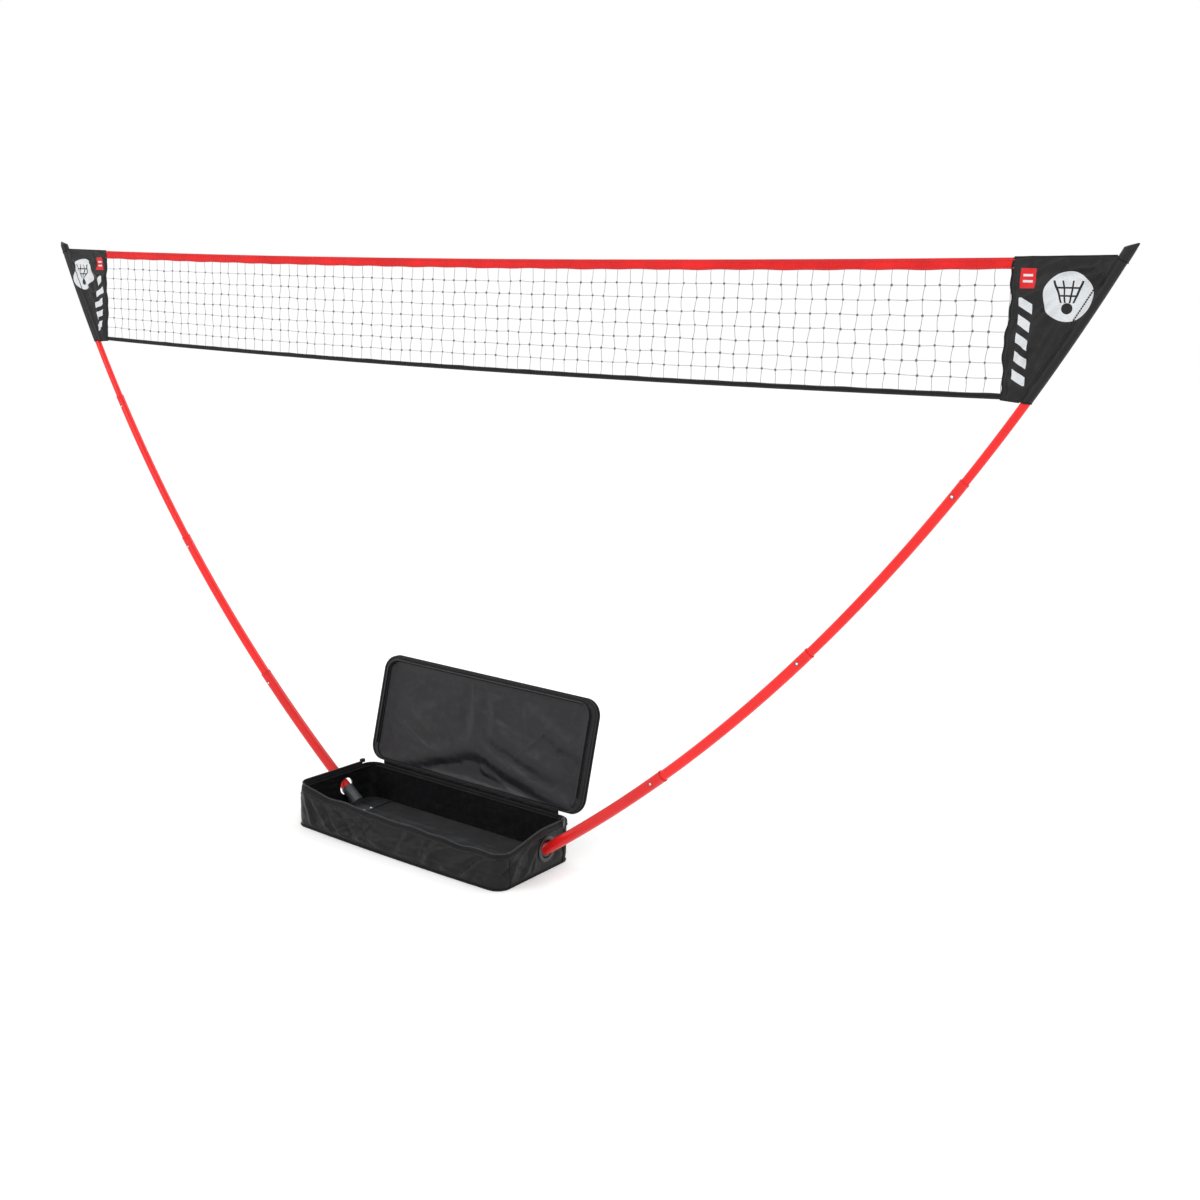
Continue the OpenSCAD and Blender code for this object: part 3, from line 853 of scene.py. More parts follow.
@dataclass
class Workshop:
    """The trees and the small repeated items that every sub-assembly shares."""

    stitch: Colour = (0.0034, 0.0009, 0.0008)
    stitch_pitch: float = 0.0046
    tooth: Colour = (0.0015, 0.0022, 0.0022)
    tooth_pitch: float = 0.0024
    knot: Colour = (0.0023, 0.0021, 0.0028)
    zip_tape: float = 0.0011
    cords: Tree = field(default_factory=tube_tree)
    rows: Tree = field(default_factory=row_tree)
    points: Tree = field(default_factory=point_tree)
    items: dict[str, Piece] = field(default_factory=dict)

    def item(self, name: str) -> Piece:
        """Gives a small rounded block to repeat: a stitch, a tooth or a knot, kept outside the scene."""
        if name not in self.items:
            work = bmesh.new()
            bmesh.ops.create_cube(work, size=1.0)
            bmesh.ops.scale(work, vec=Vector(getattr(self, name)), verts=work.verts)
            bmesh.ops.subdivide_edges(work, edges=work.edges, cuts=1, use_grid_fill=True, smooth=0.9)
            mesh = bpy.data.meshes.new(name)
            work.to_mesh(mesh)
            work.free()
            self.items[name] = bpy.data.objects.new(name, mesh)
        return self.items[name]

    def stitches(
        self, name: str, line: Points, up: Sequence[float], finish: Finish, ring: bool = False
    ) -> Piece:
        """Sews a row of stitches along a line.

        Args:
            name: The row's name.
            line: Points on the cloth's surface.
            up: Direction away from the cloth.
            finish: The thread's finish.
            ring: Whether the row is closed.

        Returns:
            The stitches' piece.
        """
        values = {"Item": self.item("stitch"), "Pitch": self.stitch_pitch, "Up": tuple(up)}
        return self.rows.grow(name, polyline_mesh(name, [line], ring), values, finish)

    def cord(
        self,
        name: str,
        lines: Sequence[Points],
        radius: float,
        finish: Finish,
        sides: int = 10,
        ring: bool = False,
    ) -> Piece:
        """Lays a round cord along lines.

        Args:
            name: The cord's name.
            lines: Points of each line.
            radius: The cord's radius.
            finish: Its finish.
            sides: Sides of its section.
            ring: Whether every line is closed.

        Returns:
            The cord's piece.
        """
        base = polyline_mesh(name, lines, ring)
        return self.cords.grow(name, base, {"Radius": radius, "Sides": sides}, finish)

    def zip_half(
        self, body: str, rings: Sequence[Points], uv: tuple[Points, Points], length: float,
        path: Points, up: Sequence[float], node: str, rests_on: str
    ) -> None:
        """Makes one half of the zip: a woven tape and its row of teeth.

        Args:
            body: The body it rides on, which also names its pieces.
            rings: Lines along the tape, from its sewn edge to its teeth.
            uv: Lengths along and across the tape.
            length: The tape's length, which is not used.
            path: The line of the teeth.
            up: The way the teeth stand.
            node: The CAD node that the teeth stand for.
            rests_on: The piece that the tape is sewn to, which is not used.
        """
        name = f"{body}_zip_tape"
        mesh = lattice(name, np.stack(rings), np.stack(np.meshgrid(*uv), axis=2))
        tape = keep(thicken(mesh_piece(name, mesh, ZIP_TAPE), self.zip_tape), body, "zip_black")
        name = f"{body}_zip_teeth"
        values = {"Item": self.item("tooth"), "Pitch": self.tooth_pitch, "Up": tuple(up)}
        teeth = self.rows.grow(name, polyline_mesh(name, [path]), values, ZIP_TEETH)
        keep(teeth, body, "zip_black", node)


def bevelled_copy(node: str, width: float, finish: Finish, body: str, slot: str) -> Piece:
    """Replaces a CAD node by a copy with softened edges.

    Args:
        node: The CAD node.
        width: The bevel's width.
        finish: The copy's finish.
        body: The body it rides on.
        slot: Its material slot, which is not used.

    Returns:
        The new piece.
    """
    mesh = frame["nodes"][node].data.copy()
    work = bmesh.new()
    work.from_mesh(mesh)
    bmesh.ops.remove_doubles(work, verts=work.verts, dist=1e-5)
    bmesh.ops.dissolve_limit(work, angle_limit=math.radians(1.0), verts=work.verts, edges=work.edges)
    work.to_mesh(mesh)
    work.free()
    piece = mesh_piece(f"{node}_finished", mesh, finish)
    bevel = piece.modifiers.new("soften", "BEVEL")
    bevel.width = width
    bevel.segments = 3
    bevel.limit_method = "ANGLE"
    bevel.angle_limit = math.radians(35.0)
    bevel.harden_normals = False
    apply_modifiers(piece)
    sharpen(piece.data, 35.0)
    return keep(piece, body, slot, node)


def sharpen(mesh: Mesh, degrees: float) -> None:
    """Keeps edges steeper than an angle sharp in a smooth-shaded mesh."""
    mesh.shade_smooth()
    mesh.set_sharp_from_angle(angle=math.radians(degrees))


# ---- case and lid ----


@dataclass
class SubAssembly:
    """Pieces that are made with the workshop's trees and ride on one body."""

    shop: Workshop
    body = "case"

    def keep(self, piece: Piece, slot: str, *nodes: str) -> Piece:
        """Rides a piece on this body and hides the CAD nodes that it stands for."""
        return keep(piece, self.body, slot, *nodes)

    def pipe(
        self, name: str, lines: Sequence[Points], radius: float, sides: int = 10, ring: bool = False
    ) -> Piece:
        """Sews piping along lines, each of them closed where ring is set."""
        return self.keep(self.shop.cord(name, lines, radius, BINDING_TAPE, sides, ring), "binding_tape")

    def sew(self, name: str, line: Points, up: Sequence[float], slot: str = "binding_tape") -> None:
        """Sews a row of black stitches along a line, where up points away from the cloth."""
        self.keep(self.shop.stitches(name, line, up, STITCH_BLACK), slot)


@dataclass
class Outline:
    """A rectangle with round corners, walked once round from the middle of its back, seen from above."""

    x0: float
    y0: float
    x1: float
    y1: float
    radius: float
    long_steps: int = 144
    short_steps: int = 50
    corner_steps: int = 14

    def walk(self) -> tuple[Points, Points]:
        """Walks the outline, with the same count of points whatever its size.

        Returns:
            Points and outward normals, each a row of X and Y.
        """
        r, half = self.radius, self.long_steps // 2
        x0, x1, y0, y1 = self.x0 + r, self.x1 - r, self.y0 + r, self.y1 - r
        start = ((self.x0 + self.x1) / 2, y1)
        ends = (start, (x0, y1), (x0, y0), (x1, y0), (x1, y1), start)
        counts = (half, self.short_steps, self.long_steps, self.short_steps, half)
        walked: list[tuple[float, ...]] = []
        for leg, count in enumerate(counts):
            (ax, ay), (bx, by) = ends[leg], ends[leg + 1]
            nx, ny = ((0.0, 1.0), (-1.0, 0.0), (0.0, -1.0), (1.0, 0.0))[leg % 4]
            for share in np.arange(count) / count:
                walked.append((ax + (bx - ax) * share + r * nx, ay + (by - ay) * share + r * ny, nx, ny))
            for step in range(self.corner_steps if leg < 4 else 0):
                angle = math.radians(90.0 * ((leg + 1) % 4) + 90.0 * step / self.corner_steps)
                nx, ny = math.cos(angle), math.sin(angle)
                walked.append((bx + r * nx, by + r * ny, nx, ny))
        points, normals = np.hsplit(np.array(walked), 2)
        return points, normals

    def spine(self, points: Points) -> Points:
        """Gives the place on the middle line that each point shrinks to."""
        middle = (self.y0 + self.y1) / 2
        reach = (self.y1 - self.y0) / 2
        x = np.clip(points[:, 0], self.x0 + reach, self.x1 - reach)
        return np.stack([x, np.full(len(x), middle)], axis=1)


def closed_lengths(points: Points) -> Points:
    """Gives the length walked up to each point of a ring, with the whole ring's length last."""
    return lengths_along(np.vstack([points, points[:1]]))


def profile_lengths(profile: Sequence[tuple[float, ...]], reach: float) -> Points:
    """Gives the length along a section's points, where the first number is a share of reach."""
    return lengths_along(np.array(profile) * np.array([reach, 1.0, 1.0]))


def ring_mesh(name: str, rings: Sequence[Points], across: Points, along: Points) -> Mesh:
    """Skins rings that follow an outline.

    Args:
        name: The mesh's name.
        rings: Points of each ring.
        across: Length along the section at each ring.
        along: Length round the outline at each point, with the whole length last.

    Returns:
        The mesh.
    """
    return lattice(name, np.stack(rings), np.stack(np.meshgrid(along, across), axis=2), wrap=True)


def folded_binding(
    name: str, section: Sequence[tuple[float, float]], rings: Sequence[Points], along: Points
) -> Piece:
    """Makes a tape folded round an edge, with a closed section.

    Args:
        name: The binding's name.
        section: Offset and height of each ring.
        rings: Points of each ring.
        along: Length round the edge at each point, with the whole length last.

    Returns:
        The binding's piece.
    """
    across = lengths_along(np.array(section))
    mesh = ring_mesh(name, [*rings, rings[0]], np.append(across, across[-1] + 0.002), along)
    tidy_shell(mesh, caps=False)
    return mesh_piece(name, mesh, BINDING_TAPE)


@dataclass
class CaseShell(SubAssembly):
    """The open carry case: padded walls that sag between its corners, piping, bound rim and half a zip."""

    corner_radius: float = 0.035
    front_sag: float = 0.027
    end_sag: float = 0.0003
    base_bow: float = 0.0085
    bulge: float = 0.0035
    pitch: float = 0.004
    piping_radius: float = 0.0021
    binding_out: float = 0.0013
    binding_depth: float = 0.0115
    zip_stand: float = 0.0080

    def __post_init__(self) -> None:
        """Takes the case's sizes from its CAD nodes."""
        low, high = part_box("bottom_panel")
        self.outline = Outline(low.x, low.y, high.x, high.y, self.corner_radius)
        self.points, self.normals = self.outline.walk()
        self.lengths = closed_lengths(self.points)
        inner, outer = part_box("front_wall")
        self.wall, self.height = outer.y - inner.y, outer.z
        self.floor = high.z
        self.zip_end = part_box("zip_chain_base")[1].y
        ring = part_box("right_grommet")
        self.hole = Vector((ring[1].x, (ring[0].y + ring[1].y) / 2, (ring[0].z + ring[1].z) / 2))
        self.creases = Creases(41, float(self.lengths[-1]), self.height, 150, 0.0030, self.corner_folds())
        self.sag = self.rim_sag()

    def corner_folds(self) -> list[Crease]:
        """Gives the long folds that run down from the front corners."""
        front = np.where(self.normals[:, 1] < -0.99)[0]
        start, end = self.lengths[front[0]], self.lengths[front[-1]]
        return [
            Crease(start + 0.060, 0.070, -0.85, 0.16, 0.011, 0.0085),
            Crease(start + 0.115, 0.055, -0.75, 0.17, 0.012, 0.0080),
            Crease(start + 0.175, 0.060, -0.60, 0.17, 0.011, 0.0070),
            Crease(start + 0.240, 0.050, -0.55, 0.16, 0.012, 0.0055),
            Crease(start + 0.025, 0.045, -1.15, 0.10, 0.008, 0.0060),
            Crease(end - 0.050, 0.055, 0.85, 0.13, 0.010, 0.0070),
            Crease(end - 0.110, 0.048, 0.65, 0.16, 0.012, 0.0060),
            Crease(end - 0.190, 0.055, 1.20, 0.12, 0.013, 0.0055),
            Crease((start + end) / 2, 0.040, 0.10, 0.30, 0.014, 0.0055),
            Crease(end + 0.130, 0.045, 0.90, 0.12, 0.010, 0.0050),
            Crease(end + 0.220, 0.070, -0.80, 0.12, 0.010, 0.0040),
        ]

    def rim_sag(self) -> Points:
        """Gives how far the rim drops at each column of the outline."""
        outline = self.outline
        share = np.clip((self.points[:, 0] - outline.x0) / (outline.x1 - outline.x0), 0.0, 1.0)
        depth = (self.points[:, 1] - outline.y0) / (outline.y1 - outline.y0)
        near = 1.0 - smoothstep(depth, 0.05, 0.62)
        along = 0.66 * smoothstep(share, 0.02, 0.17) + 0.34 * smoothstep(share, 0.1, 0.75)
        ripple = 1.0 + 0.07 * np.sin(share * 17.0 + 0.6) + 0.05 * np.sin(share * 41.0)
        ends = np.abs(self.normals[:, 0]) * np.sin(np.clip(depth, 0.0, 1.0) * math.pi) ** 2
        return self.front_sag * near * along * ripple + self.end_sag * ends

    def skin(self, offset: float, z: float, shrink: float = 0.0) -> Points:
        """Gives one ring of the case's skin.

        Args:
            offset: Metres outside the outline.
            z: Height before the rim sags.
            shrink: Share of the way in to the middle line.

        Returns:
            The ring's points.
        """
        level = min(max(z / self.height, 0.0), 1.0)
        front = np.clip(-self.normals[:, 1], 0.0, 1.0)
        back = np.clip(self.normals[:, 1], 0.0, 1.0)
        ends = np.abs(self.normals[:, 0])
        swell = self.bulge * math.sin(math.pi * level ** 0.8) * (front + 0.5 * back + 0.25 * ends)
        rim = float(smoothstep(z, self.height - 0.022, self.height))
        fade = float(smoothstep(z, 0.006, 0.022)) * (1.0 - 0.94 * rim)
        near = np.hypot(self.points[:, 1] - self.hole.y, z - self.hole.z)
        calm = np.where(ends > 0.9, smoothstep(near, 0.034, 0.052), 1.0)
        folds = self.creases(self.lengths[:-1], np.full(len(self.points), z))
        folds = folds * fade * calm * (1.0 - 0.7 * back)
        lean = -0.004 * level * level * front * (self.sag / max(self.front_sag, 1e-6))
        share = (self.points[:, 0] - self.outline.x0) / (self.outline.x1 - self.outline.x0)
        bow = self.base_bow * front * np.sin(math.pi * np.clip(share, 0.0, 1.0)) ** 0.7 * (1.0 - level) ** 1.5
        moved = self.points + self.normals * (offset + (swell * calm + folds + lean + bow)[:, None])
        if shrink:
            moved = moved * (1.0 - shrink) + self.outline.spine(self.points) * shrink
        height = z - self.sag * level * level
        return np.column_stack([moved, height])

    def build(self) -> None:
        """Makes every piece of the case."""
        self.build_walls()
        self.build_piping()
        self.build_binding()
        self.build_zip()

    def build_walls(self) -> None:
        """Makes the double-skinned walls and bottom in one closed shell, with the pole holes open."""
        shrinks = (1.0, 0.85, 0.7, 0.55, 0.4, 0.28, 0.16, 0.07)
        profile: list[tuple[float, float, float]] = [(k, -0.002, 0.0) for k in shrinks]
        profile += [(0.0, -0.0025, 0.0), (0.0, -0.0007, 0.0007), (0.0, 0.0, 0.0026)]
        rows = np.arange(self.floor + self.pitch, self.height, self.pitch)
        profile += [(0.0, 0.0, float(z)) for z in rows]
        profile += [(0.0, -0.0004, self.height), (0.0, -self.wall + 0.0004, self.height)]
        profile += [(0.0, -self.wall, float(z)) for z in rows[::-1]]
        profile += [(k, -self.wall, self.floor) for k in (0.0, *shrinks[::-1])]
        rings = [self.skin(offset, z, shrink) for shrink, offset, z in profile]
        mesh = ring_mesh("case_fabric", rings, profile_lengths(profile, 0.145), self.lengths)
        tidy_shell(mesh, 1e-5, caps=False)
        for side in SIDES.values():
            self.open_hole(mesh, side)
        piece = mesh_piece("case_fabric", mesh, CASE_NYLON)
        self.keep(piece, "case_nylon", "bottom_panel", "front_wall", "back_wall", "left_wall", "right_wall")

    def open_hole(
        self, mesh: Mesh, side: float, reach: float = 0.046, bore: float = 0.0262, cut: float = 0.0085
    ) -> None:
        """Opens the round hole for a pole through both skins of an end wall.

        Args:
            mesh: The case's shell.
            side: -1 for the left wall, 1 for the right.
            reach: Radius of the fabric that draws back from the hole.
            bore: Radius of the hole.
            cut: Radius inside which faces go, before the fabric draws back.
        """
        work = bmesh.new()
        work.from_mesh(mesh)
        limit = abs(self.hole.x) - 0.012
        inside = {}
        for vert in work.verts:
            if side * vert.co.x < limit:
                continue
            away = (vert.co - self.hole) * Vector((0.0, 1.0, 1.0))
            inside[vert] = away.length
            if 1e-9 < away.length < reach:
                pulled = bore + (reach - bore) * away.length / reach
                vert.co += away.normalized() * (pulled - away.length)
        gone = [face for face in work.faces if all(inside.get(vert, 1.0) < cut for vert in face.verts)]
        bmesh.ops.delete(work, geom=gone, context="FACES")
        rims = [edge for edge in work.edges if edge.is_boundary and side * edge.verts[0].co.x > limit]
        for edge in rims:
            for vert in edge.verts:
                away = (vert.co - self.hole) * Vector((0.0, 1.0, 1.0))
                vert.co += away.normalized() * (bore - away.length)
        bmesh.ops.bridge_loops(work, edges=rims)
        bmesh.ops.recalc_face_normals(work, faces=work.faces)
        work.to_mesh(mesh)
        work.free()

    def column(self, index: int, offset: float, heights: Sequence[float]) -> Points:
        """Gives points up the wall at one column of the outline."""
        return np.array([self.skin(offset, float(z))[index] for z in heights])

    def build_piping(self) -> None:
        """Makes the corded seams round the bottom and up the four corners, each with its stitches."""
        radius = self.piping_radius
        ring = self.skin(0.0006, radius + 0.0004)
        self.pipe("bottom_piping", [ring], radius, ring=True)
        heights = np.linspace(0.004, self.height - 0.010, 30)
        turns = [k for k in range(len(self.points)) if self.seam_here(k)]
        lines = [self.column(k, 0.0004, heights) for k in turns]
        self.pipe("corner_piping", lines, radius * 0.85)
        for number, k in enumerate(turns):
            step = 2 if self.normals[k - 1][0] * self.normals[k][0] >= 0 else -2
            line = self.column((k + step) % len(self.points), 0.0002, heights)
            self.sew(f"corner_stitches_{number}", line, (*self.normals[k], 0.0))

    def seam_here(self, index: int) -> bool:
        """Tells whether a corner's round starts or ends on an end wall at this column."""
        now = abs(self.normals[index][0]) > 0.999
        before = abs(self.normals[index - 1][0]) > 0.999
        after = abs(self.normals[(index + 1) % len(self.points)][0]) > 0.999
        return now and (not before or not after)

    def build_binding(self) -> None:
        """Folds the bias binding over the rim and sews it down on both sides."""
        top, out, depth = self.height, self.binding_out, self.binding_depth
        inner = -self.wall - out
        section = [
            (out * 0.2, top - depth),
            (out, top - depth + 0.0010),
            (out * 1.15, top - depth * 0.5),
            (out, top - 0.0012),
            (out * 0.4, top + 0.0006),
            (-self.wall / 2, top + 0.0012),
            (inner + out * 0.6, top + 0.0006),
            (inner, top - 0.0012),
            (inner * 1.02, top - depth * 0.5),
            (inner, top - depth + 0.0010),
            (inner + out * 0.8, top - depth),
        ]
        rings = [self.skin(offset, z) for offset, z in section]
        binding = folded_binding("rim_bias_binding", section, rings, self.lengths)
        self.keep(binding, "binding_tape", "rim_binding")
        x, y = self.normals.T
        sides = {"front": y < -0.9, "left": x < -0.9, "right": x > 0.9, "back": y > 0.9}
        for name, offset, facing in (("outer", out * 1.1, 1.0), ("inner", inner, -1.0)):
            line = self.skin(offset, top - depth + 0.0022)
            for label, there in sides.items():
                picked = line[there]
                if label == "back":
                    picked = picked[np.argsort(picked[:, 0])]
                up = (*(self.normals[there][0] * facing), 0.0)
                self.sew(f"rim_stitches_{name}_{label}", picked, up)

    def zip_columns(self) -> Points:
        """Gives the outline's columns in front of the zip's two stops, in order."""
        return np.where(self.points[:, 1] < self.zip_end + 1e-4)[0]

    def zip_length(self) -> float:
        """Gives the length of rim between the zip's two stops."""
        columns = self.zip_columns()
        return float(self.lengths[columns[-1]] - self.lengths[columns[0]])

    def build_zip(self) -> None:
        """Makes the case's half of the zip, which stands on the rim and waves a little along the front."""
        columns = self.zip_columns()
        wave = 0.0009 * np.sin(self.lengths[:-1] * 70.0) * np.clip(-self.normals[:, 1], 0.0, 1.0)
        levels = self.height + np.array([-0.004, 0.001, 0.004, self.zip_stand])
        rings = []
        for z in levels:
            ring = self.skin(-self.wall / 2, float(z))
            lift = max(z - self.height, 0.0) / self.zip_stand
            ring[:, :2] += self.normals * (wave * lift)[:, None]
            rings.append(ring[columns])
        uv = (self.lengths[columns], levels - levels[0])
        path, up = rings[-1] + np.array([0.0, 0.0, 0.0002]), (0.0, 0.0, 1.0)
        names = ("zip_chain_base", "rim_bias_binding")
        self.shop.zip_half(self.body, rings, uv, self.zip_length(), path, up, *names)


def thicken(piece: Piece, thickness: float, offset: float = 0.0) -> Piece:
    """Gives a surface its cloth thickness and returns the piece."""
    solid = piece.modifiers.new("cloth", "SOLIDIFY")
    solid.thickness = thickness
    solid.offset = offset
    solid.use_even_offset = False
    return apply_modifiers(piece)


@dataclass
class LidShell(SubAssembly):
    """The lid, drawn shut and leant back: padded panel, rim with its lip, piping, zip and creased lining."""

    case: CaseShell
    corner_radius: float = 0.042
    crown: float = 0.005
    piping_radius: float = 0.0034
    lining_pitch: float = 0.0032
    slack_most: float = 0.0105
    lip: float = 0.0016
    body = "lid"

    def __post_init__(self) -> None:
        """Takes the lid's sizes from its CAD nodes, turned back to the shut place."""
        hinge = JOINTS["lid_hinge"]
        self.pivot = Vector(hinge["pos_m"])
        self.angle = math.radians(hinge["range_deg"][0])
        low, high = self.shut_box("lid_panel")
        self.outline = Outline(low.x, low.y, high.x, high.y, self.corner_radius)
        self.points, self.normals = self.outline.walk()
        self.lengths = closed_lengths(self.points)
        self.panel = (low.z, high.z)
        self.rim_low = self.shut_box("lid_rim")[0].z
        self.lining_low = self.shut_box("lid_lining")[0].z
        self.folds = Creases(7, high.x - low.x, high.y - low.y, 60, 0.0016)

    def shut_box(self, node: str) -> tuple[Vector, Vector]:
        """Gives a lid node's lowest and highest corners with the lid shut."""
        turn = Matrix.Rotation(-self.angle, 4, "X")
        back = Matrix.Translation(self.pivot) @ turn @ Matrix.Translation(-self.pivot)
        spots = np.array([back @ Vector(spot) for spot in cad_points(node)])
        return Vector(spots.min(axis=0)), Vector(spots.max(axis=0))

    def open(self, points: Points) -> Points:
        """Leans points drawn on the shut lid back to the open place."""
        turn = np.array(Matrix.Rotation(self.angle, 3, "X"))
        pivot = np.array(self.pivot)
        return (points - pivot) @ turn.T + pivot

    def facing(self) -> tuple[float, float, float]:
        """Gives the way the lid's lining faces when open."""
        pivot = np.array(self.pivot)
        return tuple(self.open(pivot + np.array([0.0, 0.0, -1.0])) - pivot)

    def ring(self, offset: float, z: float, shrink: float = 0.0, towards_case: float = 0.0) -> Points:
        """Gives one ring of the lid's skin, still shut.

        Args:
            offset: Metres outside the outline.
            z: Height.
            shrink: Share of the way in to the middle line.
            towards_case: Share of the way from the lid's outline to the case's.

        Returns:
            The ring's points.
        """
        own = self.points + self.normals * offset
        theirs = self.case.points + self.case.normals * offset
        flat = own * (1.0 - towards_case) + theirs * towards_case
        flat = flat * (1.0 - shrink) + self.outline.spine(self.points) * shrink
        return np.column_stack([flat, np.full(len(flat), z)])

    def pad(self, ring: Points, shrink: float) -> Points:
        """Raises a ring of the panel's back with its crown and folds."""
        u = ring[:, 0] - self.outline.x0
        v = ring[:, 1] - self.outline.y0
        fade = float(smoothstep(shrink, 0.0, 0.12))
        ring = ring.copy()
        ring[:, 2] += self.crown * float(smoothstep(shrink, 0.0, 0.5)) + self.folds(u, v) * fade
        return ring

    def build(self) -> None:
        """Makes every piece of the lid."""
        self.build_shell()
        self.build_piping()
        self.build_zip()
        self.build_lining()
        self.build_hinge_cloth()

    def build_shell(self) -> None:
        """Makes the padded panel, the rim and the lip that the zip is sewn to, as one closed shell."""
        low, high = self.panel
        base, lip = self.rim_low, self.lip
        inner = -self.case.wall
        rows = [(0.0, high, float(k), 0.0) for k in np.linspace(1.0, 0.0, 36)[:-1]]
        rows += [(-0.0030, high, 0.0, 0.0), (-0.0008, high - 0.0010, 0.0, 0.0), (0.0, low - 0.001, 0.0, 0.0)]
        rows += [(0.0, float(z), 0.0, 0.0) for z in np.linspace(low - 0.003, base + 0.001, 5)]
        rows += [(-0.0006, base, 0.0, m) for m in (0.0, 0.25, 0.5, 0.75, 1.0)]
        rows += [(inner - 0.0008, base, 0.0, 1.0)]
        rows += [(inner - 0.0008, base + lip, 0.0, m) for m in (1.0, 0.66, 0.33)]
        rows += [(inner, float(z), 0.0, 0.0) for z in np.linspace(base + 2 * lip, self.lining_low, 4)]
        rows += [(inner - 0.001, self.lining_low + 0.0012, k, 0.0) for k in (0.02, 0.05, 0.3, 0.6, 1.0)]
        rings = []
        for offset, z, shrink, towards in rows:
            ring = self.ring(offset, z, shrink, towards)
            rings.append(self.open(self.pad(ring, shrink) if z == high and shrink else ring))
        across = profile_lengths([(k, a, z) for a, z, k, _ in rows], 0.149)
        mesh = ring_mesh("lid_fabric", rings, across, self.lengths)
        tidy_shell(mesh, 1e-5, caps=False)
        piece = mesh_piece("lid_fabric", mesh, LINING_NYLON)
        self.keep(piece, "case_nylon", "lid_panel", "lid_rim")

    def build_piping(self) -> None:
        """Makes the corded edge round the lid and the flat binding beside it, with its stitches."""
        low, high = self.panel
        edge = self.open(self.ring(0.0004, (low + high) / 2))
        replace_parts(self.pipe("lid_piping", [edge], self.piping_radius, 14, ring=True), "lid_binding")
        face = self.rim_low - 0.0009
        section = [(0.0008, face), (0.0014, face + 0.0022), (0.0012, face + 0.0052), (-0.0004, face + 0.0054)]
        section += [(-0.0040, face + 0.0014), (-0.0046, face + 0.0002), (-0.0024, face - 0.0004)]
        rings = [self.open(self.ring(offset, z)) for offset, z in section]
        self.keep(folded_binding("lid_rim_binding", section, rings, self.lengths), "binding_tape")
        line = self.open(self.ring(-0.0032, face - 0.0002))
        row = self.shop.stitches("lid_rim_stitches", line, self.facing(), STITCH_BLACK, ring=True)
        self.keep(row, "binding_tape")

    def build_zip(self) -> None:
        """Makes the lid's half of the zip, which hangs inside the lid's lip."""
        columns = self.case.zip_columns()
        levels = self.rim_low - np.array([-0.0030, 0.003, 0.0078, 0.0079])
        middle = -self.case.wall / 2
        *rings, path = [self.open(self.ring(middle, float(z), 0.0, 1.0))[columns] for z in levels]
        uv = (self.lengths[columns], levels[0] - levels[:-1])
        names = ("zip_chain_lid", "lid_fabric")
        self.shop.zip_half(self.body, rings, uv, self.case.zip_length(), path, self.facing(), *names)

    def lining_height(self, u: Points, v: Points) -> Points:
        """Gives the lining's folds over the lid, from its front left corner with the lid shut."""
        width = self.outline.x1 - self.outline.x0
        depth = self.outline.y1 - self.outline.y0
        chosen = [
            Crease(width * x, depth * y, *shape)
            for x, y, *shape in (
                (0.31, 0.77, -0.36, 0.30, 0.025, 0.0110),
                (0.70, 0.79, 0.25, 0.38, 0.023, 0.0105),
                (0.45, 0.42, 1.50, 0.17, 0.020, 0.0066),
                (0.54, 0.36, 1.25, 0.16, 0.018, 0.0048),
                (0.68, 0.58, 0.33, 0.30, 0.024, 0.0070),
                (0.24, 0.46, 0.42, 0.24, 0.026, 0.0060),
                (0.80, 0.33, 0.40, 0.24, 0.022, 0.0048),
                (0.48, 0.90, 0.06, 0.30, 0.014, -0.0040),
                (0.60, 0.88, 0.35, 0.20, 0.012, 0.0045),
                (0.17, 0.20, -0.70, 0.18, 0.022, 0.0030),
            )
        ]
        folds = Creases(19, width, depth, 34, 0.0014, chosen)
        slack = 0.0035 * np.sin(math.pi * u / width) * np.sin(math.pi * v / depth)
        edge = np.minimum(np.minimum(u, width - u), np.minimum(v, depth - v))
        return (folds(u, v) + slack) * smoothstep(edge, 0.0, 0.04)

    def build_lining(self) -> None:
        """Makes the lining as one sheet that dips from the lip to the stiffening board, slack and creased."""
        tuck = self.case.wall + 0.0012
        own = self.case.outline
        x0, x1, y0, y1 = own.x0 + tuck, own.x1 - tuck, own.y0 + tuck, own.y1 - tuck
        flat = rounded_grid((x0, x1), (y0, y1), self.case.corner_radius - tuck, self.lining_pitch)
        u, v = flat[..., 0] - x0, flat[..., 1] - y0
        edge = np.minimum(np.minimum(u, x1 - x0 - u), np.minimum(v, y1 - y0 - v))
        dip = smoothstep(edge, -0.012, 0.030) ** 0.8
        level = self.rim_low - 0.0002 + (self.lining_low - 0.0006 - self.rim_low) * dip
        drop = np.maximum(self.lining_height(u, v), -0.0004 - (self.lining_low - 0.0006 - level) * 0.5)
        points = np.dstack([flat, level - self.slack_most * np.tanh(drop / self.slack_most)])
        mesh = lattice("lid_lining_cloth", self.open(points), np.dstack([u, v]))
        piece = thicken(mesh_piece("lid_lining_cloth", mesh, LINING_NYLON), 0.0009)
        self.keep(piece, "lining_nylon", "lid_lining")

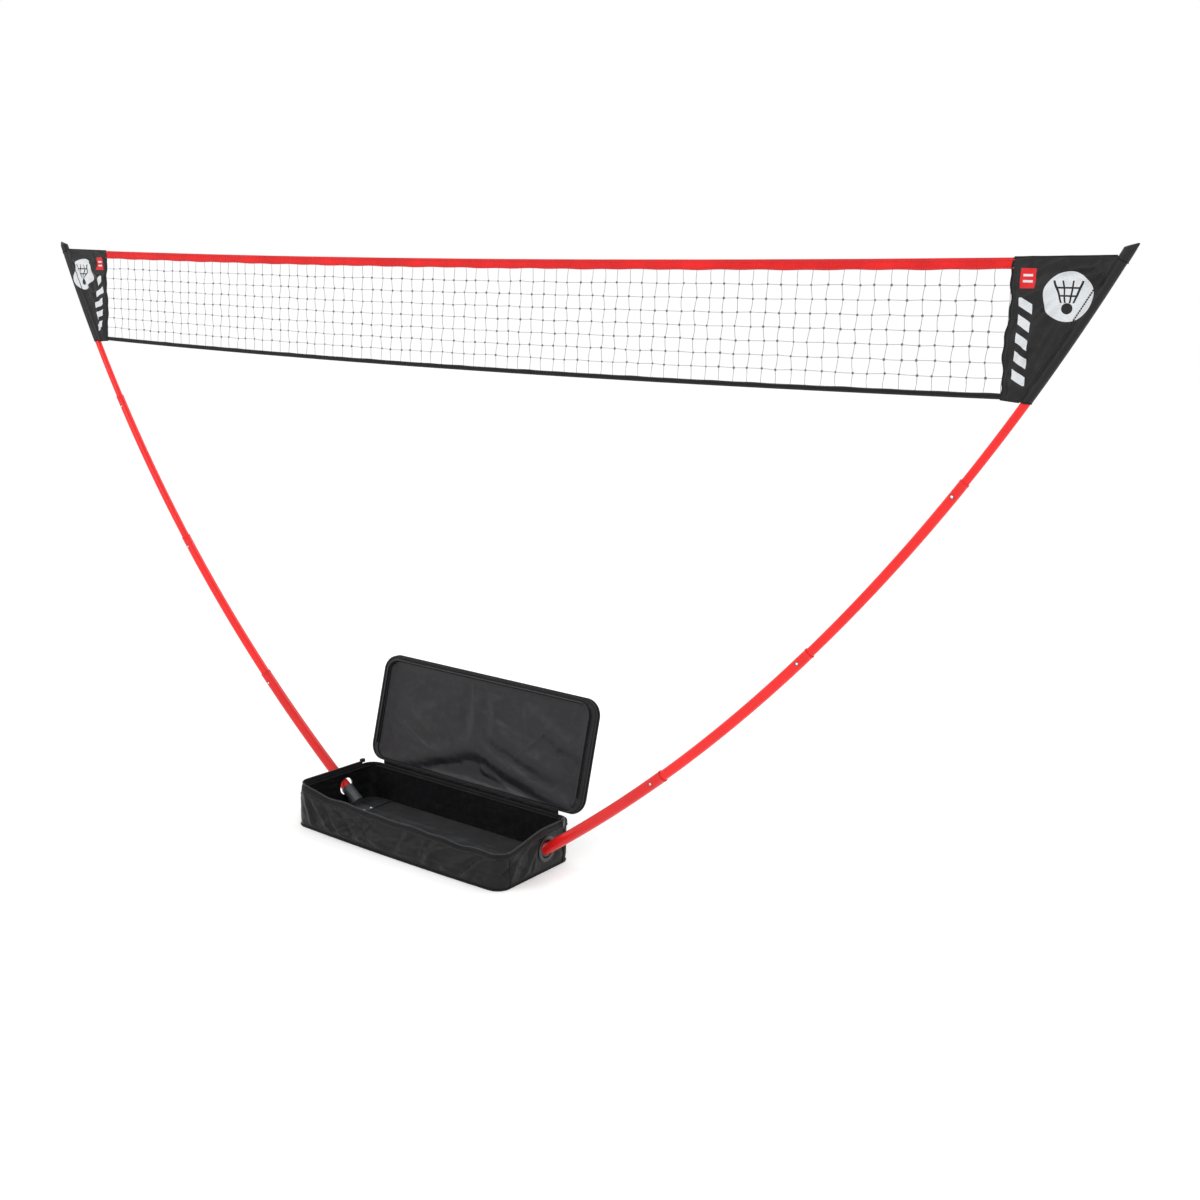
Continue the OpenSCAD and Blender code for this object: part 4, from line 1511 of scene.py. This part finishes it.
    def build_hinge_cloth(self) -> None:
        """Makes the fabric hinge, bent round its piping cord to the open lid."""
        low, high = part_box("hinge_strip")
        y, z = self.pivot.y, self.pivot.z
        edge = self.open(np.array([0.0, self.outline.y1 - 0.0008, self.rim_low + 0.006]))
        flap = self.open(np.array([0.0, self.outline.y1 - 0.0008, self.rim_low - 0.004]))
        section = [
            (y + 0.0012, low.z - 0.016),
            (y + 0.0012, low.z - 0.008),
            (y + 0.0008, low.z),
            (y + 0.0004, z - 0.005),
            (y + 0.0006, z - 0.0010),
            (y + 0.0026, z + 0.0012),
            (y + 0.0056, z + 0.0008),
            (flap[1], flap[2] + 0.0016),
            (edge[1], edge[2] + 0.0012),
        ]
        columns = np.linspace(low.x, high.x, 130)
        pucker = 0.0006 * np.sin(columns * 210.0) + 0.0004 * np.sin(columns * 83.0)
        rows = [np.column_stack([columns, a + pucker * 0.6, b + pucker]) for a, b in section]
        across = lengths_along(np.array(section))
        uv = np.stack(np.meshgrid(columns - low.x, across), axis=2)
        mesh = lattice("hinge_cloth", np.stack(rows), uv)
        piece = thicken(mesh_piece("hinge_cloth", mesh, CASE_NYLON), 0.0012)
        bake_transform(piece)
        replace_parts(piece, "hinge_strip", "hinge_flap")


def rounded_grid(
    wide: tuple[float, float], deep: tuple[float, float], radius: float, pitch: float
) -> Points:
    """Gives a grid of points over a rectangle with round corners.

    Args:
        wide: Its X from left to right.
        deep: Its Y from front to back.
        radius: The corners' radius.
        pitch: Spacing of the grid.

    Returns:
        Rows by columns by X and Y.
    """
    turn = max(6, int(radius / pitch))

    def axis(low: float, high: float) -> Points:
        """Spaces one side's points with whole steps in each corner."""
        inner = max(4, int((high - low - 2 * radius) / pitch))
        return np.concatenate([
            np.linspace(low, low + radius, turn, endpoint=False),
            np.linspace(low + radius, high - radius, inner, endpoint=False),
            np.linspace(high - radius, high, turn + 1),
        ])

    x, y = np.meshgrid(axis(*wide), axis(*deep))
    corner_x = np.clip(x, wide[0] + radius, wide[1] - radius)
    corner_y = np.clip(y, deep[0] + radius, deep[1] - radius)
    a, b = (x - corner_x) / radius, (y - corner_y) / radius
    x = corner_x + radius * a * np.sqrt(1.0 - b * b / 2.0)
    y = corner_y + radius * b * np.sqrt(1.0 - a * a / 2.0)
    return np.dstack([x, y])


# ---- poles ----


@dataclass
class Pole(SubAssembly):
    """One bent telescopic pole: four coated tubes on one bend, each with a lip and a snap button."""

    side: str
    lip: float = 0.0005
    gauge: float = 0.0015
    pitch: float = 0.011
    sides: int = 56
    parts: Sequence[str] = ("base", "lower", "middle", "tip")

    def __post_init__(self) -> None:
        """Takes the bend from the joint that the lower tube slides on."""
        self.sign = SIDES[self.side]
        centre = JOINTS["right_lower_slide"]["pos_m"]
        self.centre = Vector((centre[0], 0.0, centre[2]))
        spots = cad_points("right_tip_tube")
        reach = np.hypot(spots[:, 0] - self.centre.x, spots[:, 2] - self.centre.z)
        self.bend = float((reach.min() + reach.max()) / 2)

    def span(self, spots: Points) -> tuple[float, float]:
        """Gives the lengths along the bend between which a right-hand node's points lie."""
        angles = np.arctan2(spots[:, 0] - self.centre.x, self.centre.z - spots[:, 2])
        return float(angles.min()) * self.bend, float(angles.max()) * self.bend

    def rides_on(self, part: str) -> str:
        """Gives the body that a tube belongs to: the base tube stays with the case."""
        return self.body if part == "base" else f"{self.side}_{part}"

    def outward(self, s: float | Points) -> Points:
        """Gives the direction away from the bend's centre, across the pole, at lengths s."""
        angle = np.asarray(s) / self.bend
        return np.stack([np.sin(angle) * self.sign, 0.0 * angle, -np.cos(angle)], axis=-1)

    def at(self, s: float | Points) -> Points:
        """Gives points on the pole's axis at lengths s along the bend."""
        return np.array([self.centre.x * self.sign, 0.0, self.centre.z]) + self.bend * self.outward(s)

    def round_tube(self, stations: Sequence[tuple[float, float]]) -> tuple[Points, Points]:
        """Sweeps rings along the bend.

        Args:
            stations: Length along the bend and radius of each ring.

        Returns:
            Points and UV of the rings.
        """
        turn = np.linspace(0.0, 2.0 * math.pi, self.sides + 1)
        lengths = np.array([s for s, _ in stations])
        radii = np.array([r for _, r in stations])
        centre, away = self.at(lengths), self.outward(lengths)
        across = np.array([0.0, -1.0, 0.0])
        sine, cosine = np.sin(turn[:-1])[None, :, None], np.cos(turn[:-1])[None, :, None]
        points = centre[:, None, :] + radii[:, None, None] * (away[:, None, :] * cosine + across * sine)
        walked = np.concatenate([[0.0], np.cumsum(np.hypot(np.diff(lengths), np.diff(radii)))])
        u, v = np.meshgrid(turn * float(radii.max()), walked)
        return points, np.dstack([v, u])

    def build(self) -> None:
        """Makes the four tubes and the dark rings round their buttons."""
        for number, part in enumerate(self.parts):
            self.build_tube(number, part)
        for number, part in enumerate(self.parts[1:]):
            self.build_button_ring(number, part)

    def build_tube(self, number: int, part: str) -> None:
        """Makes one tube with a rolled mouth and its bore."""
        node = f"right_{part}_tube"
        start, end = self.span(cad_points(node))
        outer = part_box(node)[1].y
        bore = outer - self.gauge
        count = max(2, int((end - start) / self.pitch))
        stations = [(float(s), outer) for s in np.linspace(start, end - 0.0045, count)]
        lip = self.lip if part != "tip" else 0.0
        mouth = ((-0.0042, 0.3), (-0.0036, 0.9), (-0.0028, 1.0), (-0.0012, 1.0), (-0.0004, 0.7), (0.0, 0.1))
        stations += [(end + along, outer + lip * share) for along, share in mouth]
        stations += [(end, bore + 0.0003), (end - 0.0006, bore)]
        stations += [(float(s), bore) for s in np.linspace(end - 0.012, start, max(2, count // 3))]
        stations += [(start, outer)]
        points, uv = self.round_tube(stations)
        name = f"{self.side}_{part}_pole"
        mesh = lattice(name, points, uv, wrap=True)
        tidy_shell(mesh, 1e-6, caps=False)
        piece = mesh_piece(name, mesh, POLE_DEEP if number == 0 else POLE_RED)
        self.drill(piece, self.parts[max(number, 1):number + 2])
        sharpen(piece.data, 40.0)
        keep(piece, self.rides_on(part), "pole_red", f"{self.side}_{part}_tube")

    def drill(self, piece: Piece, owners: Sequence[str]) -> None:
        """Drills the front of a tube for buttons.

        Args:
            piece: The tube.
            owners: The tubes that the buttons belong to.
        """
        work = bmesh.new()
        for owner in owners:
            low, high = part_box(f"right_{owner}_button")
            radius = (high.x - low.x) / 2 + 0.0005
            spot = Matrix.Translation((self.sign * (low.x + high.x) / 2, -0.01275, (low.z + high.z) / 2))
            turned = spot @ Matrix.Rotation(math.pi / 2, 4, "X")
            bmesh.ops.create_cone(
                work, cap_ends=True, segments=28, radius1=radius, radius2=radius, depth=0.0125, matrix=turned
            )
        mesh = bpy.data.meshes.new("drill")
        work.to_mesh(mesh)
        work.free()
        tool = mesh_piece("drill", mesh, None)
        hole = piece.modifiers.new("holes", "BOOLEAN")
        hole.operation = "DIFFERENCE"
        hole.object = tool
        apply_modifiers(piece)
        bpy.data.objects.remove(tool)

    def build_button_ring(self, number: int, part: str) -> None:
        """Makes the dark edge of the hole that a button stands in."""
        outer_part = self.parts[number]
        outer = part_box(f"right_{outer_part}_tube")[1].y
        low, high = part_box(f"right_{part}_button")
        centre = Vector(((low.x + high.x) / 2, 0.0, (low.z + high.z) / 2))
        s = math.atan2(centre.x - self.centre.x, self.centre.z - centre.z) * self.bend
        radius = (high.x - low.x) / 2 + 0.0009
        turn = np.linspace(0.0, 2.0 * math.pi, 32, endpoint=False)
        along = s + radius * np.cos(turn)
        across = radius * np.sin(turn)
        depth = -np.sqrt(outer**2 - across**2)
        path = self.at(along) + self.outward(along) * across[:, None]
        path[:, 1] = depth
        ring = self.shop.cord(f"{self.side}_{part}_button_hole", [path], 0.0005, BLACK_PLASTIC, 8, ring=True)
        keep(ring, self.rides_on(outer_part), "black_plastic")


# ---- net ----


@dataclass
class Net(SubAssembly):
    """The net: two tapes that sag to the middle, knotted twine between them and a sleeve at each end."""

    strings: int = 80
    rows: int = 8
    twine_radius: float = 0.0006
    seed: int = 23
    body = "net"

    def __post_init__(self) -> None:
        """Takes the net's edges from its CAD nodes."""
        self.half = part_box("net_mesh")[1].x
        self.top = self.edge("top_tape", 1)
        self.top_low = self.edge("top_tape", -1)
        self.low = self.edge("bottom_tape", -1)
        self.low_high = self.edge("bottom_tape", 1)

    def edge(self, node: str, side: int) -> Callable[[Points], Points]:
        """Gives a tape's upper or lower edge as a height over X.

        Args:
            node: The tape's CAD node.
            side: 1 for the upper edge, -1 for the lower.

        Returns:
            A function of X.
        """
        spots = cad_points(node)
        ends = spots[np.abs(spots[:, 0]) > self.half - 0.001][:, 2]
        near = spots[np.abs(spots[:, 0]) < 0.036][:, 2]
        end = float(ends.max() if side > 0 else ends.min())
        middle = float(near[near > near.mean()].min() if side > 0 else near.min())
        return lambda x: end - (end - middle) * (1.0 - (np.asarray(x) / self.half) ** 2)

    def build(self) -> None:
        """Makes the tapes, the netting and both sleeves."""
        self.build_tape("top_tape", self.top_low, self.top, RED_WEBBING, STITCH_RED)
        self.build_tape("bottom_tape", self.low, self.low_high, BLACK_WEBBING, STITCH_BLACK)
        self.build_netting()
        for side in SIDES:
            Sleeve(self.shop, self, side).build()

    def drift(self, x: Points) -> Points:
        """Gives how far a tape waves out of the net's plane."""
        calm = smoothstep(self.half - np.abs(x), 0.0, 0.15)
        waves = 0.0011 * np.sin(x * 7.3 + 0.4) + 0.0007 * np.sin(x * 19.0) + 0.0004 * np.sin(x * 47.0 + 1.0)
        return waves * calm

    def build_tape(
        self,
        node: str,
        low: Callable[[Points], Points],
        high: Callable[[Points], Points],
        finish: Finish,
        thread: Finish,
    ) -> None:
        """Makes a tape folded over a thin cord at its outer edge, with two rows of stitches.

        Args:
            node: The CAD node that it stands for.
            low: Its lower edge over X.
            high: Its upper edge over X.
            finish: Its webbing, which also names its slot.
            thread: Its stitches' finish.
        """
        name, slot = f"net_{node}", finish.name
        x = np.linspace(-self.half, self.half, 460)
        width = float(high(self.half) - low(self.half))
        thick = 0.00065
        corded = node == "top_tape"
        shares = [0.0, 0.03, 0.2, 0.4, 0.6, 0.76, 0.86, 0.94, 0.985, 1.0]

        def half_depth(share: float) -> float:
            """Gives half the tape's thickness at a share of its width."""
            from_cord = (share if corded else 1.0 - share) - 0.9
            cord = 0.0010 * math.exp(-((from_cord / 0.07) ** 2))
            rounding = math.sqrt(max(0.0, 1.0 - (2.0 * abs(share - 0.5)) ** 24))
            return (thick + cord) * rounding

        ruffle = 0.0006 * np.sin(x * 61.0) + 0.0004 * np.sin(x * 23.0 + 2.0)
        section = [(share, -1.0) for share in shares] + [(share, 1.0) for share in shares[-2:0:-1]]
        rows = []
        for share, face in section:
            z = low(x) + (high(x) - low(x)) * share + ruffle * (1.0 - share if corded else share)
            rows.append(np.column_stack([x, self.drift(x) + face * half_depth(share), z]))
        points = np.stack(rows, axis=1)
        lengths = lengths_along(np.array(section) * np.array([width, 0.001]))
        u, v = np.meshgrid(x + self.half, np.append(lengths, lengths[-1] + 0.001), indexing="ij")
        mesh = lattice(name, points, np.dstack([u, v]), wrap=True)
        tidy_shell(mesh, 1e-7)
        piece = mesh_piece(name, mesh, finish)
        sharpen(mesh, 50.0)
        self.keep(piece, slot, node)
        for number, share in enumerate((0.12, 0.80) if corded else (0.20, 0.88)):
            z = low(x) + (high(x) - low(x)) * share
            for face, facing in ((-1.0, "front"), (1.0, "back")):
                line = np.column_stack([x, self.drift(x) + face * (half_depth(share) + 0.0001), z])
                row = self.shop.stitches(f"{name}_stitches_{facing}_{number}", line, (0.0, face, 0.0), thread)
                self.keep(row, slot)

    def build_netting(self) -> None:
        """Makes the netting's strings, which lean a little between knots, and its knots."""
        draw = random.Random(self.seed)
        xs = np.linspace(-self.half, self.half, self.strings + 1)
        knots = np.zeros((self.strings + 1, self.rows + 1, 3))
        for i, x in enumerate(xs):
            top, low = float(self.top_low(x)), float(self.low_high(x))
            for j in range(self.rows + 1):
                shift = drop = depth = 0.0
                if 0 < i < self.strings and 0 < j < self.rows:
                    shift = 0.0017 * (-1.0) ** (i + j) + draw.uniform(-0.0011, 0.0011)
                    drop = draw.uniform(-0.0012, 0.0012)
                    depth = draw.uniform(-0.0009, 0.0009)
                height = low + (top - low) * j / self.rows + drop
                knots[i, j] = (x + shift, float(self.drift(np.array(x))) + depth, height)
        knots[:, 0, 2] -= 0.002
        knots[:, -1, 2] += 0.002
        uprights = [self.slack(line, draw, 0.0014, 5) for line in knots]
        levels = [self.slack(knots[:, j], draw, 0.0008, 4) for j in range(1, self.rows)]
        strings = self.shop.cord("net_uprights", uprights, self.twine_radius, NET_TWINE, 6)
        self.keep(strings, "net_twine", "net_mesh")
        self.keep(self.shop.cord("net_levels", levels, self.twine_radius, NET_TWINE, 6), "net_twine")
        mesh = bpy.data.meshes.new("net_knots")
        mesh.from_pydata(knots[1:-1, 1:-1].reshape(-1, 3).tolist(), [], [])
        values = {"Item": self.shop.item("knot"), "Turn": 0.6, "Seed": self.seed}
        self.keep(self.shop.points.grow("net_knots", mesh, values, KNOT_TWINE), "net_twine")

    def slack(self, points: Points, draw: random.Random, depth: float, steps: int) -> Points:
        """Bows a string between its knots.

        Args:
            points: The string's knots.
            draw: Source of each bow's size.
            depth: The most that a bow stands off.
            steps: Points in each space.

        Returns:
            The string's points.
        """
        line = []
        for first, second in zip(points[:-1], points[1:]):
            bow_x, bow_y = draw.uniform(-depth, depth), draw.uniform(-depth, depth) * 0.4
            away = np.array([bow_x, bow_y, -abs(draw.uniform(0, depth)) * 0.5])
            for step in range(steps):
                share = step / steps
                line.append(first + (second - first) * share + away * math.sin(math.pi * share))
        line.append(points[-1])
        return np.array(line)


@dataclass
class Sleeve(SubAssembly):
    """A three-cornered double sleeve with a tunnel for the tip tube, closed to an ear at its top."""

    net: Net
    side: str
    cloth: float = 0.0008
    seam: float = 0.0185
    ear: float = 0.013
    ear_point: float = 0.0160
    flat_columns: int = 44
    arc_columns: int = 22
    rows: int = 84
    body = "net"

    def __post_init__(self) -> None:
        """Takes the tunnel's place from the sleeve's CAD node."""
        self.pole = Pole(self.shop, self.side)
        spots = cad_points("right_sleeve")
        self.start, self.tip = self.pole.span(spots[np.abs(spots[:, 1]) > 0.004])
        self.end = self.tip - self.ear
        self.radius = float(spots[:, 1].max()) - self.cloth
        self.top = float(self.net.top(self.net.half))
        self.low = float(self.net.low(self.net.half))
        self.sign = SIDES[self.side]

    def folds(self) -> Creases:
        """Gives the folds that run in from the tunnel and hang from the top corner."""
        height = self.top - self.low
        chosen = [
            Crease(0.075, height * 0.80, 0.35, 0.20, 0.012, 0.0064),
            Crease(0.070, height * 0.62, 0.75, 0.18, 0.011, 0.0056),
            Crease(0.045, height * 0.42, 1.10, 0.17, 0.010, 0.0052),
            Crease(0.030, height * 0.22, 1.30, 0.12, 0.008, 0.0042),
            Crease(0.130, height * 0.88, 0.10, 0.16, 0.010, 0.0046),
        ]
        seed = 5 if self.side == "left" else 11
        return Creases(seed, 0.2, height, 30, 0.0026, chosen, (0.9, 0.4, -0.5, 1.3))

    def row(self, share: float, folds: Creases) -> tuple[Points, Points]:
        """Gives one ring of cloth, from the inner edge round the pole and back.

        Args:
            share: 0 at the sleeve's bottom and 1 at its top.
            folds: The sleeve's creases.

        Returns:
            The ring's points and UV.
        """
        s = self.start + (self.end - self.start) * share
        centre = self.pole.at(s)
        height = self.low + (self.top - self.low) * share
        edge_wave = 0.0030 * math.sin(share * 11.0 + 0.7) + 0.0014 * math.sin(share * 37.0)
        edge_wave *= float(smoothstep(share, 0.0, 0.1)) * float(smoothstep(1.0 - share, 0.0, 0.08))
        inner = np.array([self.sign * (self.net.half + edge_wave), 0.0, height])
        way = inner - centre
        reach = float(np.linalg.norm(way))
        way = way / reach
        radius = self.radius
        across = np.array([0.0, -1.0, 0.0])
        shares = np.linspace(1.0, 0.0, self.flat_columns) ** 1.35
        away = reach * shares
        blend = 0.5 + 0.5 * np.cos(math.pi * np.clip(away / self.seam, 0.0, 1.0))
        puff = 0.0012 * np.sin(math.pi * np.clip((away - self.seam) / max(reach - self.seam, 1e-6), 0.0, 1.0))
        half = self.cloth + 0.0004 + (radius - self.cloth) * blend + puff
        u = np.abs(centre[0] + way[0] * away) - self.net.half
        v = centre[2] + way[2] * away - self.low
        fade = smoothstep(away, self.seam * 0.6, self.seam * 1.8) * smoothstep(reach - away, 0.0, 0.012)
        lift = folds(u, v) * fade
        front = centre + way * away[:, None] + across * (half + lift)[:, None]
        back = centre + way * away[:, None] - across * (half - lift)[:, None]
        turn = np.linspace(math.pi / 2, -math.pi / 2, self.arc_columns + 2)[1:-1]
        arc = centre - radius * (way * np.cos(turn)[:, None] - across * np.sin(turn)[:, None])
        points = np.concatenate([front, arc, back[::-1]])
        round_pole = np.linspace(u[-1], 1.0 - u[-1], len(turn) + 2)[1:-1]
        uv_front = np.column_stack([u, v])
        uv_arc = np.column_stack([round_pole, np.full(len(turn), v[-1])])
        uv_back = np.column_stack([1.0 - u[::-1], v[::-1]])
        uv = np.concatenate([uv_front, uv_arc, uv_back, uv_back[-1:]])
        return points, uv

    def build(self) -> None:
        """Makes the sleeve's cloth, its hems and its seam stitches."""
        folds = self.folds()
        made = [self.row(float(share), folds) for share in np.linspace(0.0, 1.0, self.rows)]
        points, uv = (np.stack(part) for part in zip(*made))
        name = f"{self.side}_sleeve_cloth"
        mesh = lattice(name, points, uv, wrap=True)
        self.close_top(mesh, points[-1])
        piece = thicken(mesh_piece(name, mesh, SLEEVE_NYLON), self.cloth, -1.0)
        self.keep(piece, "sleeve_nylon", f"{self.side}_sleeve")
        self.build_ear()
        self.build_hems(points)

    def build_ear(self) -> None:
        """Makes the closed end of the tunnel, which stands past the sleeve's top edge."""
        full = self.pole.span(cad_points("right_tip_cap"))[1] + 0.0006
        point = self.tip + self.ear_point
        tunnel = np.linspace(self.end - 0.010, full, 10)[:-1]
        lengths = np.concatenate([tunnel, full + (point - full) * np.linspace(0.0, 1.0, 16)])
        share = np.clip((lengths - full) / (point - full), 0.0, 1.0)
        radii = (self.radius + 0.0002) * (1.0 - 0.86 * share**1.1)
        points, uv = self.pole.round_tube(list(zip(lengths.tolist(), radii.tolist())))
        points = points + (self.pole.outward(lengths) * ((self.radius - radii) * 0.95)[:, None])[:, None, :]
        name = f"{self.side}_sleeve_ear"
        mesh = lattice(name, points, uv + np.array([0.3, 0.4]), wrap=True)
        tidy_shell(mesh, 1e-7)
        self.keep(mesh_piece(name, mesh, SLEEVE_NYLON), "sleeve_nylon")
        rim = points[0] + (points[0] - points[0].mean(axis=0)) * 0.02
        self.pipe(f"{name}_hem", [rim], 0.0008, 8, ring=True)

    def close_top(self, mesh: Mesh, ring: Points) -> None:
        """Closes the sleeve's top edge and turns its faces outwards.

        Args:
            mesh: The sleeve's cloth.
            ring: Its top ring.
        """
        work = bmesh.new()
        work.from_mesh(mesh)
        work.verts.ensure_lookup_table()
        count = len(ring)
        start = len(work.verts) - count
        layer = work.loops.layers.uv.active
        for k in range(self.flat_columns - 3):
            corners = [work.verts[start + i] for i in (k, k + 1, count - 2 - k, count - 1 - k)]
            if len(set(corners)) < 4:
                continue
            face = work.faces.new(corners)
            face.smooth = True
            for loop in face.loops:
                loop[layer].uv = (abs(loop.vert.co.x) - self.net.half, loop.vert.co.z - self.low)
        bmesh.ops.recalc_face_normals(work, faces=work.faces)
        outward = sum(math.copysign(1.0, face.calc_center_median().y) * face.normal.y for face in work.faces)
        if outward < 0:
            bmesh.ops.reverse_faces(work, faces=work.faces)
        work.to_mesh(mesh)
        work.free()

    def build_hems(self, points: Points) -> None:
        """Makes the rolled hem down the inner edge and along the bottom, and the tunnel's seam.

        Args:
            points: The cloth's rows of rings.
        """
        inner = (points[:, 0] + points[:, -1]) / 2
        flat = self.flat_columns
        bottom = (points[0, :flat] + points[0, -flat:][::-1]) / 2
        wide = np.linalg.norm(points[0, :flat] - points[0, -flat:][::-1], axis=1) < 0.006
        mouth = np.concatenate([points[0, flat - 9:flat], points[0, flat:-flat], points[0, -flat:-flat + 9]])
        top = ((points[-1, :flat] + points[-1, -flat:][::-1]) / 2)[:-6] + np.array([0.0, 0.0, 0.0006])
        for label, lines, radius, sides in (
            ("hem", [inner, bottom[wide]], 0.0019, 10),
            ("mouth", [mouth], 0.0011, 8),
            ("top_hem", [top], 0.0016, 10),
        ):
            self.pipe(f"{self.side}_sleeve_{label}", lines, radius, sides)
        for facing, face in (("front", -1.0), ("back", 1.0)):
            line, edge = [], []
            for row in points[:-10]:
                half = row[:flat] if face < 0 else row[-flat:][::-1]
                centre = (row[flat - 1] + row[-flat]) / 2
                away = np.linalg.norm(half - centre, axis=1)
                seam = int(np.argmin(np.abs(away - self.seam)))
                hemmed = int(np.argmin(np.abs(np.linalg.norm(half - half[0], axis=1) - 0.0065)))
                line.append(self.along(half, away, self.seam) + np.array([0.0, face * 0.0003, 0.0]))
                edge.append(half[hemmed] + np.array([0.0, face * 0.0003, 0.0]) if seam else half[0])
            for label, path in (("seam", line), ("hem_stitches", edge)):
                name = f"{self.side}_sleeve_{label}_{facing}"
                self.sew(name, np.array(path), (0.0, face, 0.0), "sleeve_nylon")

    def along(self, half: Points, away: Points, distance: float) -> Points:
        """Gives the point of a half ring at a distance from the pole's axis."""
        order = np.argsort(away)
        return np.array([np.interp(distance, away[order], half[order, axis]) for axis in range(3)])


# ---- hardware, studio and order of work ----


@dataclass
class Hardware:
    """The metal and plastic parts that come from CAD, with softened edges where their edges show."""

    plain: dict[str, Finish] = field(
        default_factory=lambda: {
            "base_board": BOARD,
            "lid_board": BOARD,
            "hinge_cord": BINDING_TAPE,
            "socket_rivets": BRIGHT_STEEL,
            **{f"{part}_button": BRIGHT_STEEL for part in Pole.parts[1:]},
            **{f"{part}_spring": SPRING_STEEL for part in Pole.parts[1:]},
            "base_plug": BLACK_PLASTIC,
        }
    )
    softened: dict[str, tuple[float, Finish, str]] = field(
        default_factory=lambda: {
            "base_frame": (0.0008, FRAME_STEEL, "case"),
            "socket": (0.0009, GREY_PLASTIC, "case"),
            "grommet": (0.0007, BLACK_PLASTIC, "case"),
            "slider": (0.0004, ZIP_METAL, "zip_slider"),
            "pull": (0.0003, ZIP_METAL, "zip_pull"),
            "tip_cap": (0.0004, BLACK_PLASTIC, "tip"),
        }
    )

    def named(self, name: str) -> list[str]:
        """Gives a node's own name, or the names of the pair where there is one on each side."""
        return [name] if name in frame["nodes"] else [f"{side}_{name}" for side in SIDES]

    def build(self) -> None:
        """Paints the plain nodes and makes the softened copies."""
        for name, finish in self.plain.items():
            for node in self.named(name):
                mesh = frame["nodes"][node].data
                mesh.materials.clear()
                mesh.materials.append(finish.paint())
        for name, (width, finish, body) in self.softened.items():
            for node in self.named(name):
                own = body if body == "case" else f"{node.split('_')[0]}_{body}"
                bevelled_copy(node, width, finish, own, finish.name)


@dataclass
class Studio:
    """A pale floor, soft lights and the camera."""

    place: Colour = (2.2257, -2.5838, 1.3339)
    yaw: float = 34.064
    pitch: float = 11.150
    roll: float = 2.742
    lens: float = 40.13
    floor_size: float = 120.0

    def build(self) -> None:
        """Sets the studio up."""
        self.build_floor()
        self.build_lights()
        self.build_camera()

    def build_floor(self) -> None:
        """Lays the floor."""
        work = bmesh.new()
        bmesh.ops.create_grid(work, x_segments=8, y_segments=8, size=self.floor_size / 2)
        mesh = bpy.data.meshes.new("studio_floor")
        work.to_mesh(mesh)
        work.free()
        mesh_piece("studio_floor", mesh, StudioFloor("studio_floor"))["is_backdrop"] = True

    def build_lights(self) -> None:
        """Hangs three soft panels and a pale sky."""
        panels = (
            ("key", (-1.8, -3.4, 3.6), (0.0, 0.0, 0.6), 2.2, 60.0),
            ("fill", (3.4, -2.2, 2.6), (0.2, 0.0, 0.6), 2.0, 24.0),
            ("rim", (0.6, 3.2, 3.4), (0.0, 0.0, 0.9), 2.4, 40.0),
        )
        for name, spot, aim, size, power in panels:
            light = bpy.data.lights.new(name, "AREA")
            light.shape = "DISK"
            light.size = size
            light.energy = power
            holder = bpy.data.objects.new(name, light)
            holder.location = spot
            holder.rotation_euler = (Vector(aim) - Vector(spot)).to_track_quat("-Z", "Y").to_euler()
            bpy.context.scene.collection.objects.link(holder)
        world = bpy.data.worlds.new("studio_sky")
        world.use_nodes = True
        sky = world.node_tree.nodes["Background"]
        sky.inputs["Color"].default_value = (1.0, 1.0, 1.0, 1.0)
        sky.inputs["Strength"].default_value = 1.0
        bpy.context.scene.world = world
        bpy.context.scene.view_settings.view_transform = "Standard"

    def build_camera(self) -> None:
        """Places the camera."""
        yaw, pitch, roll = (math.radians(angle) for angle in (self.yaw, self.pitch, self.roll))
        ahead = Vector((-math.sin(yaw) * math.cos(pitch), math.cos(yaw) * math.cos(pitch), -math.sin(pitch)))
        right = Vector((math.cos(yaw), math.sin(yaw), 0.0))
        up = right.cross(ahead)
        side = right * math.cos(roll) + up * math.sin(roll)
        top = up * math.cos(roll) - right * math.sin(roll)
        turn = Matrix((side, top, -ahead)).transposed().to_4x4()
        data = bpy.data.cameras.new("camera")
        data.sensor_width = 36.0
        data.lens = self.lens
        data.clip_end = 60.0
        camera = bpy.data.objects.new("camera", data)
        camera.matrix_world = Matrix.Translation(Vector(self.place)) @ turn
        bpy.context.scene.collection.objects.link(camera)
        bpy.context.scene.camera = camera


def report() -> None:
    """Logs every piece with its size in faces."""
    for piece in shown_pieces():
        faces = len(piece.data.polygons) if piece.type == "MESH" else 0
        LOG.info("%s: %d faces", piece.name, faces)


def main() -> None:
    """Builds the sub-assemblies in order."""
    logging.basicConfig(level=logging.INFO, format="%(name)s: %(message)s")
    Studio().build()
    shop = Workshop()
    Hardware().build()
    case = CaseShell(shop)
    case.build()
    LidShell(shop, case).build()
    for side in SIDES:
        Pole(shop, side).build()
    Net(shop).build()
    report()


if __name__ == "__main__":
    main()
